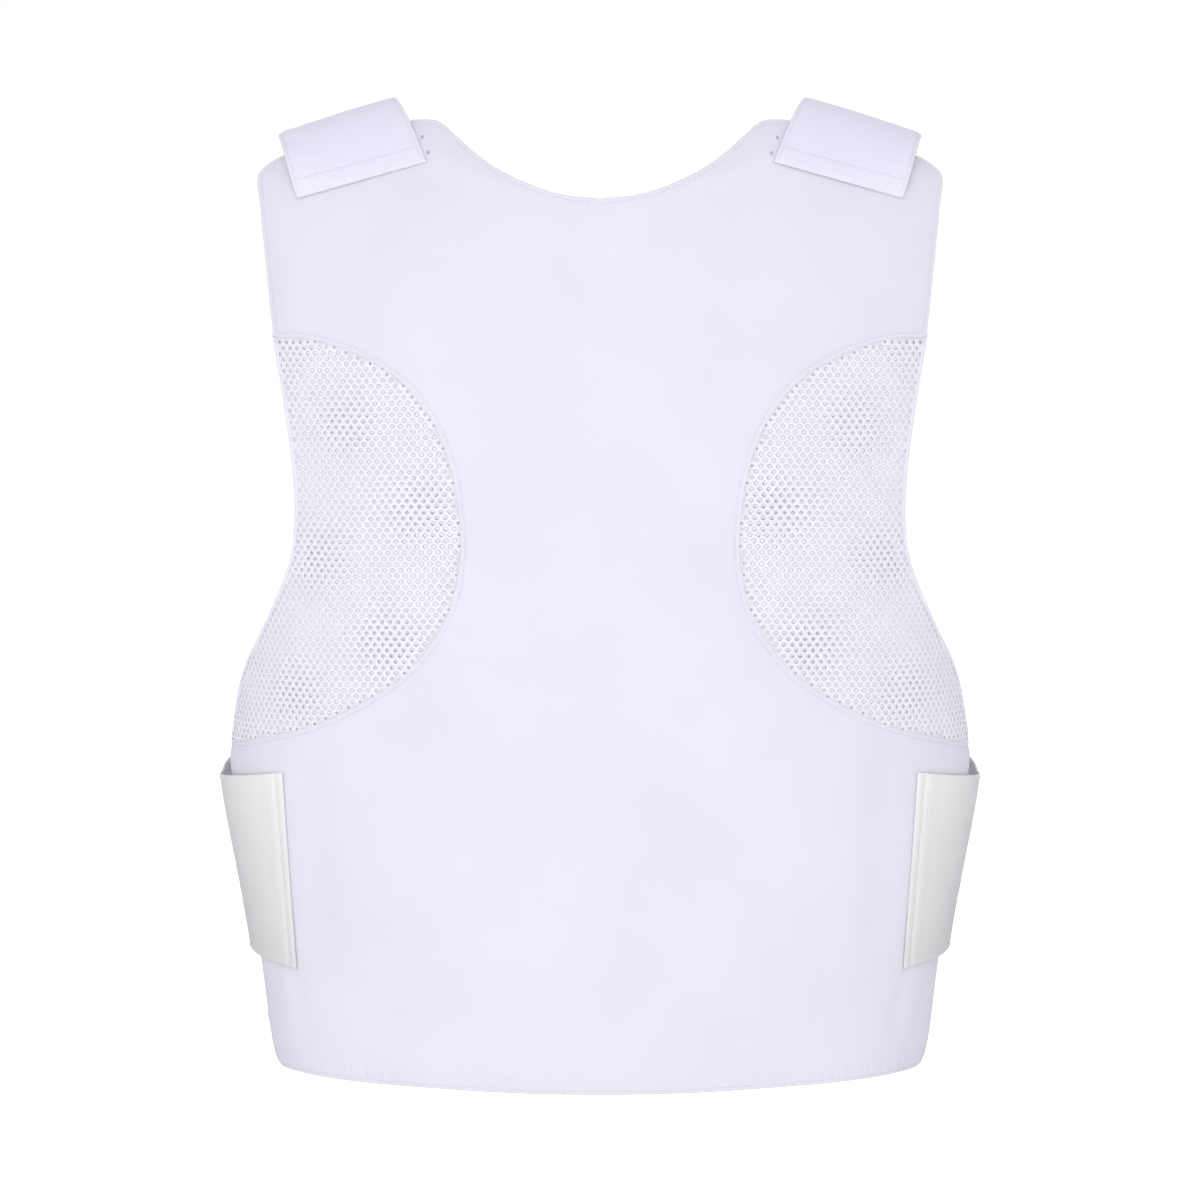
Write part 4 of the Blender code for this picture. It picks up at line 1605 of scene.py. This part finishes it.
# %% Camera, floor and light
# The photograph is square.  The horizon's row and the focal length are in its pixels, and the
# sensor's width is in millimetres.
PHOTO_SIZE = 1200
HORIZON_ROW = 227
FOCAL_PIXELS = 3780
SENSOR = 36
CAMERA_BACK = 2.0
CAMERA_LEVEL = -0.056
CAMERA_PITCH = math.atan((PHOTO_SIZE / 2 - HORIZON_ROW) / FOCAL_PIXELS)
CAMERA_LENS = SENSOR * FOCAL_PIXELS / PHOTO_SIZE
FLOOR_LEVEL = -0.95
FLOOR_RADIUS = 9.0
FLOOR_CORNERS = 64
LIGHT_SIZE = 2.0
VEST_MIDDLE = Vector((0.0, 0.0, -0.25))

camera_data = bpy.data.cameras.new("camera")
camera_data.sensor_width = SENSOR
camera_data.lens = CAMERA_LENS
camera = bpy.data.objects.new("camera", camera_data)
camera.location = (0.0, -CAMERA_BACK, CAMERA_LEVEL)
camera.rotation_euler = (math.pi / 2 - CAMERA_PITCH, 0.0, 0.0)
bpy.context.collection.objects.link(camera)
bpy.context.scene.camera = camera


def floor_disc():
    """A flat disc of one face with many corners."""
    turn = np.linspace(0.0, 2 * math.pi, FLOOR_CORNERS + 1)[:-1]
    rim = np.column_stack([
        FLOOR_RADIUS * np.cos(turn),
        FLOOR_RADIUS * np.sin(turn),
        np.full(FLOOR_CORNERS, FLOOR_LEVEL),
    ])
    mesh = bpy.data.meshes.new("floor")
    mesh.from_pydata(rim.tolist(), [], [list(range(FLOOR_CORNERS))])
    disc = bpy.data.objects.new("floor", mesh)
    bpy.context.collection.objects.link(disc)
    return disc


floor = floor_disc()
floor_material = bpy.data.materials.new("floor_white")
floor_material.use_nodes = True
floor_shader = floor_material.node_tree.nodes["Principled BSDF"]
floor_shader.inputs["Base Color"].default_value = (0.75, 0.75, 0.76, 1.0)
floor_shader.inputs["Roughness"].default_value = 0.9
floor_shader.inputs["Emission Color"].default_value = (1.0, 1.0, 1.0, 1.0)
floor_ray = floor_material.node_tree.nodes.new("ShaderNodeLightPath")
floor_material.node_tree.links.new(
    floor_ray.outputs["Is Camera Ray"], floor_shader.inputs["Emission Strength"])
floor.data.materials.append(floor_material)


def softbox(name, place, power):
    """A square white area light that looks at the middle of the vest."""
    data = bpy.data.lights.new(name, "AREA")
    data.shape = "SQUARE"
    data.size = LIGHT_SIZE
    data.energy = power
    light = bpy.data.objects.new(name, data)
    light.location = place
    aim = VEST_MIDDLE - Vector(place)
    light.rotation_euler = aim.to_track_quat("-Z", "Y").to_euler()
    bpy.context.collection.objects.link(light)


softbox("front_light", (-0.2, -3.0, -0.1), power=38.5)
softbox("back_light", (0.4, 3.0, -0.1), power=30.0)

# %% [markdown]
# ## A tent of light
#
# The world is the tent: its strength is a base, with a little more before and behind the vest,
# and its tint turns colder overhead.  The camera itself sees plain white.

# %% A soft tent of light
TENT_BASE = 0.85
TENT_ENDS = 0.10
HORIZON_TINT = (0.965, 0.965, 0.965, 1.0)
ZENITH_TINT = (0.88, 0.89, 1.0, 1.0)

world = bpy.data.worlds.new("studio")
world.use_nodes = True
bpy.context.scene.world = world
tree = world.node_tree
direction = add(tree, "ShaderNodeTexCoord").outputs["Generated"]
axes = add(tree, "ShaderNodeSeparateXYZ")
tree.links.new(direction, axes.inputs["Vector"])
square = maths(tree, "MULTIPLY", axes.outputs["Y"], axes.outputs["Y"])
tent = maths(tree, "ADD", maths(tree, "MULTIPLY", square, TENT_ENDS), TENT_BASE)
ramp = add(tree, "ShaderNodeValToRGB")
ramp.color_ramp.elements[0].color = HORIZON_TINT
ramp.color_ramp.elements[1].color = ZENITH_TINT
tree.links.new(axes.outputs["Z"], ramp.inputs["Fac"])
soft = tree.nodes["Background"]
tree.links.new(ramp.outputs["Color"], soft.inputs["Color"])
tree.links.new(tent, soft.inputs["Strength"])
white = tree.nodes.new("ShaderNodeBackground")
white.inputs["Color"].default_value = (1.0, 1.0, 1.0, 1.0)
white.inputs["Strength"].default_value = 1.0
ray = tree.nodes.new("ShaderNodeLightPath")
mix = tree.nodes.new("ShaderNodeMixShader")
tree.links.new(ray.outputs["Is Camera Ray"], mix.inputs["Fac"])
tree.links.new(soft.outputs["Background"], mix.inputs[1])
tree.links.new(white.outputs["Background"], mix.inputs[2])
tree.links.new(mix.outputs["Shader"], tree.nodes["World Output"].inputs["Surface"])
bpy.context.scene.view_settings.view_transform = "Standard"
print("camera lens:", round(CAMERA_LENS, 1))
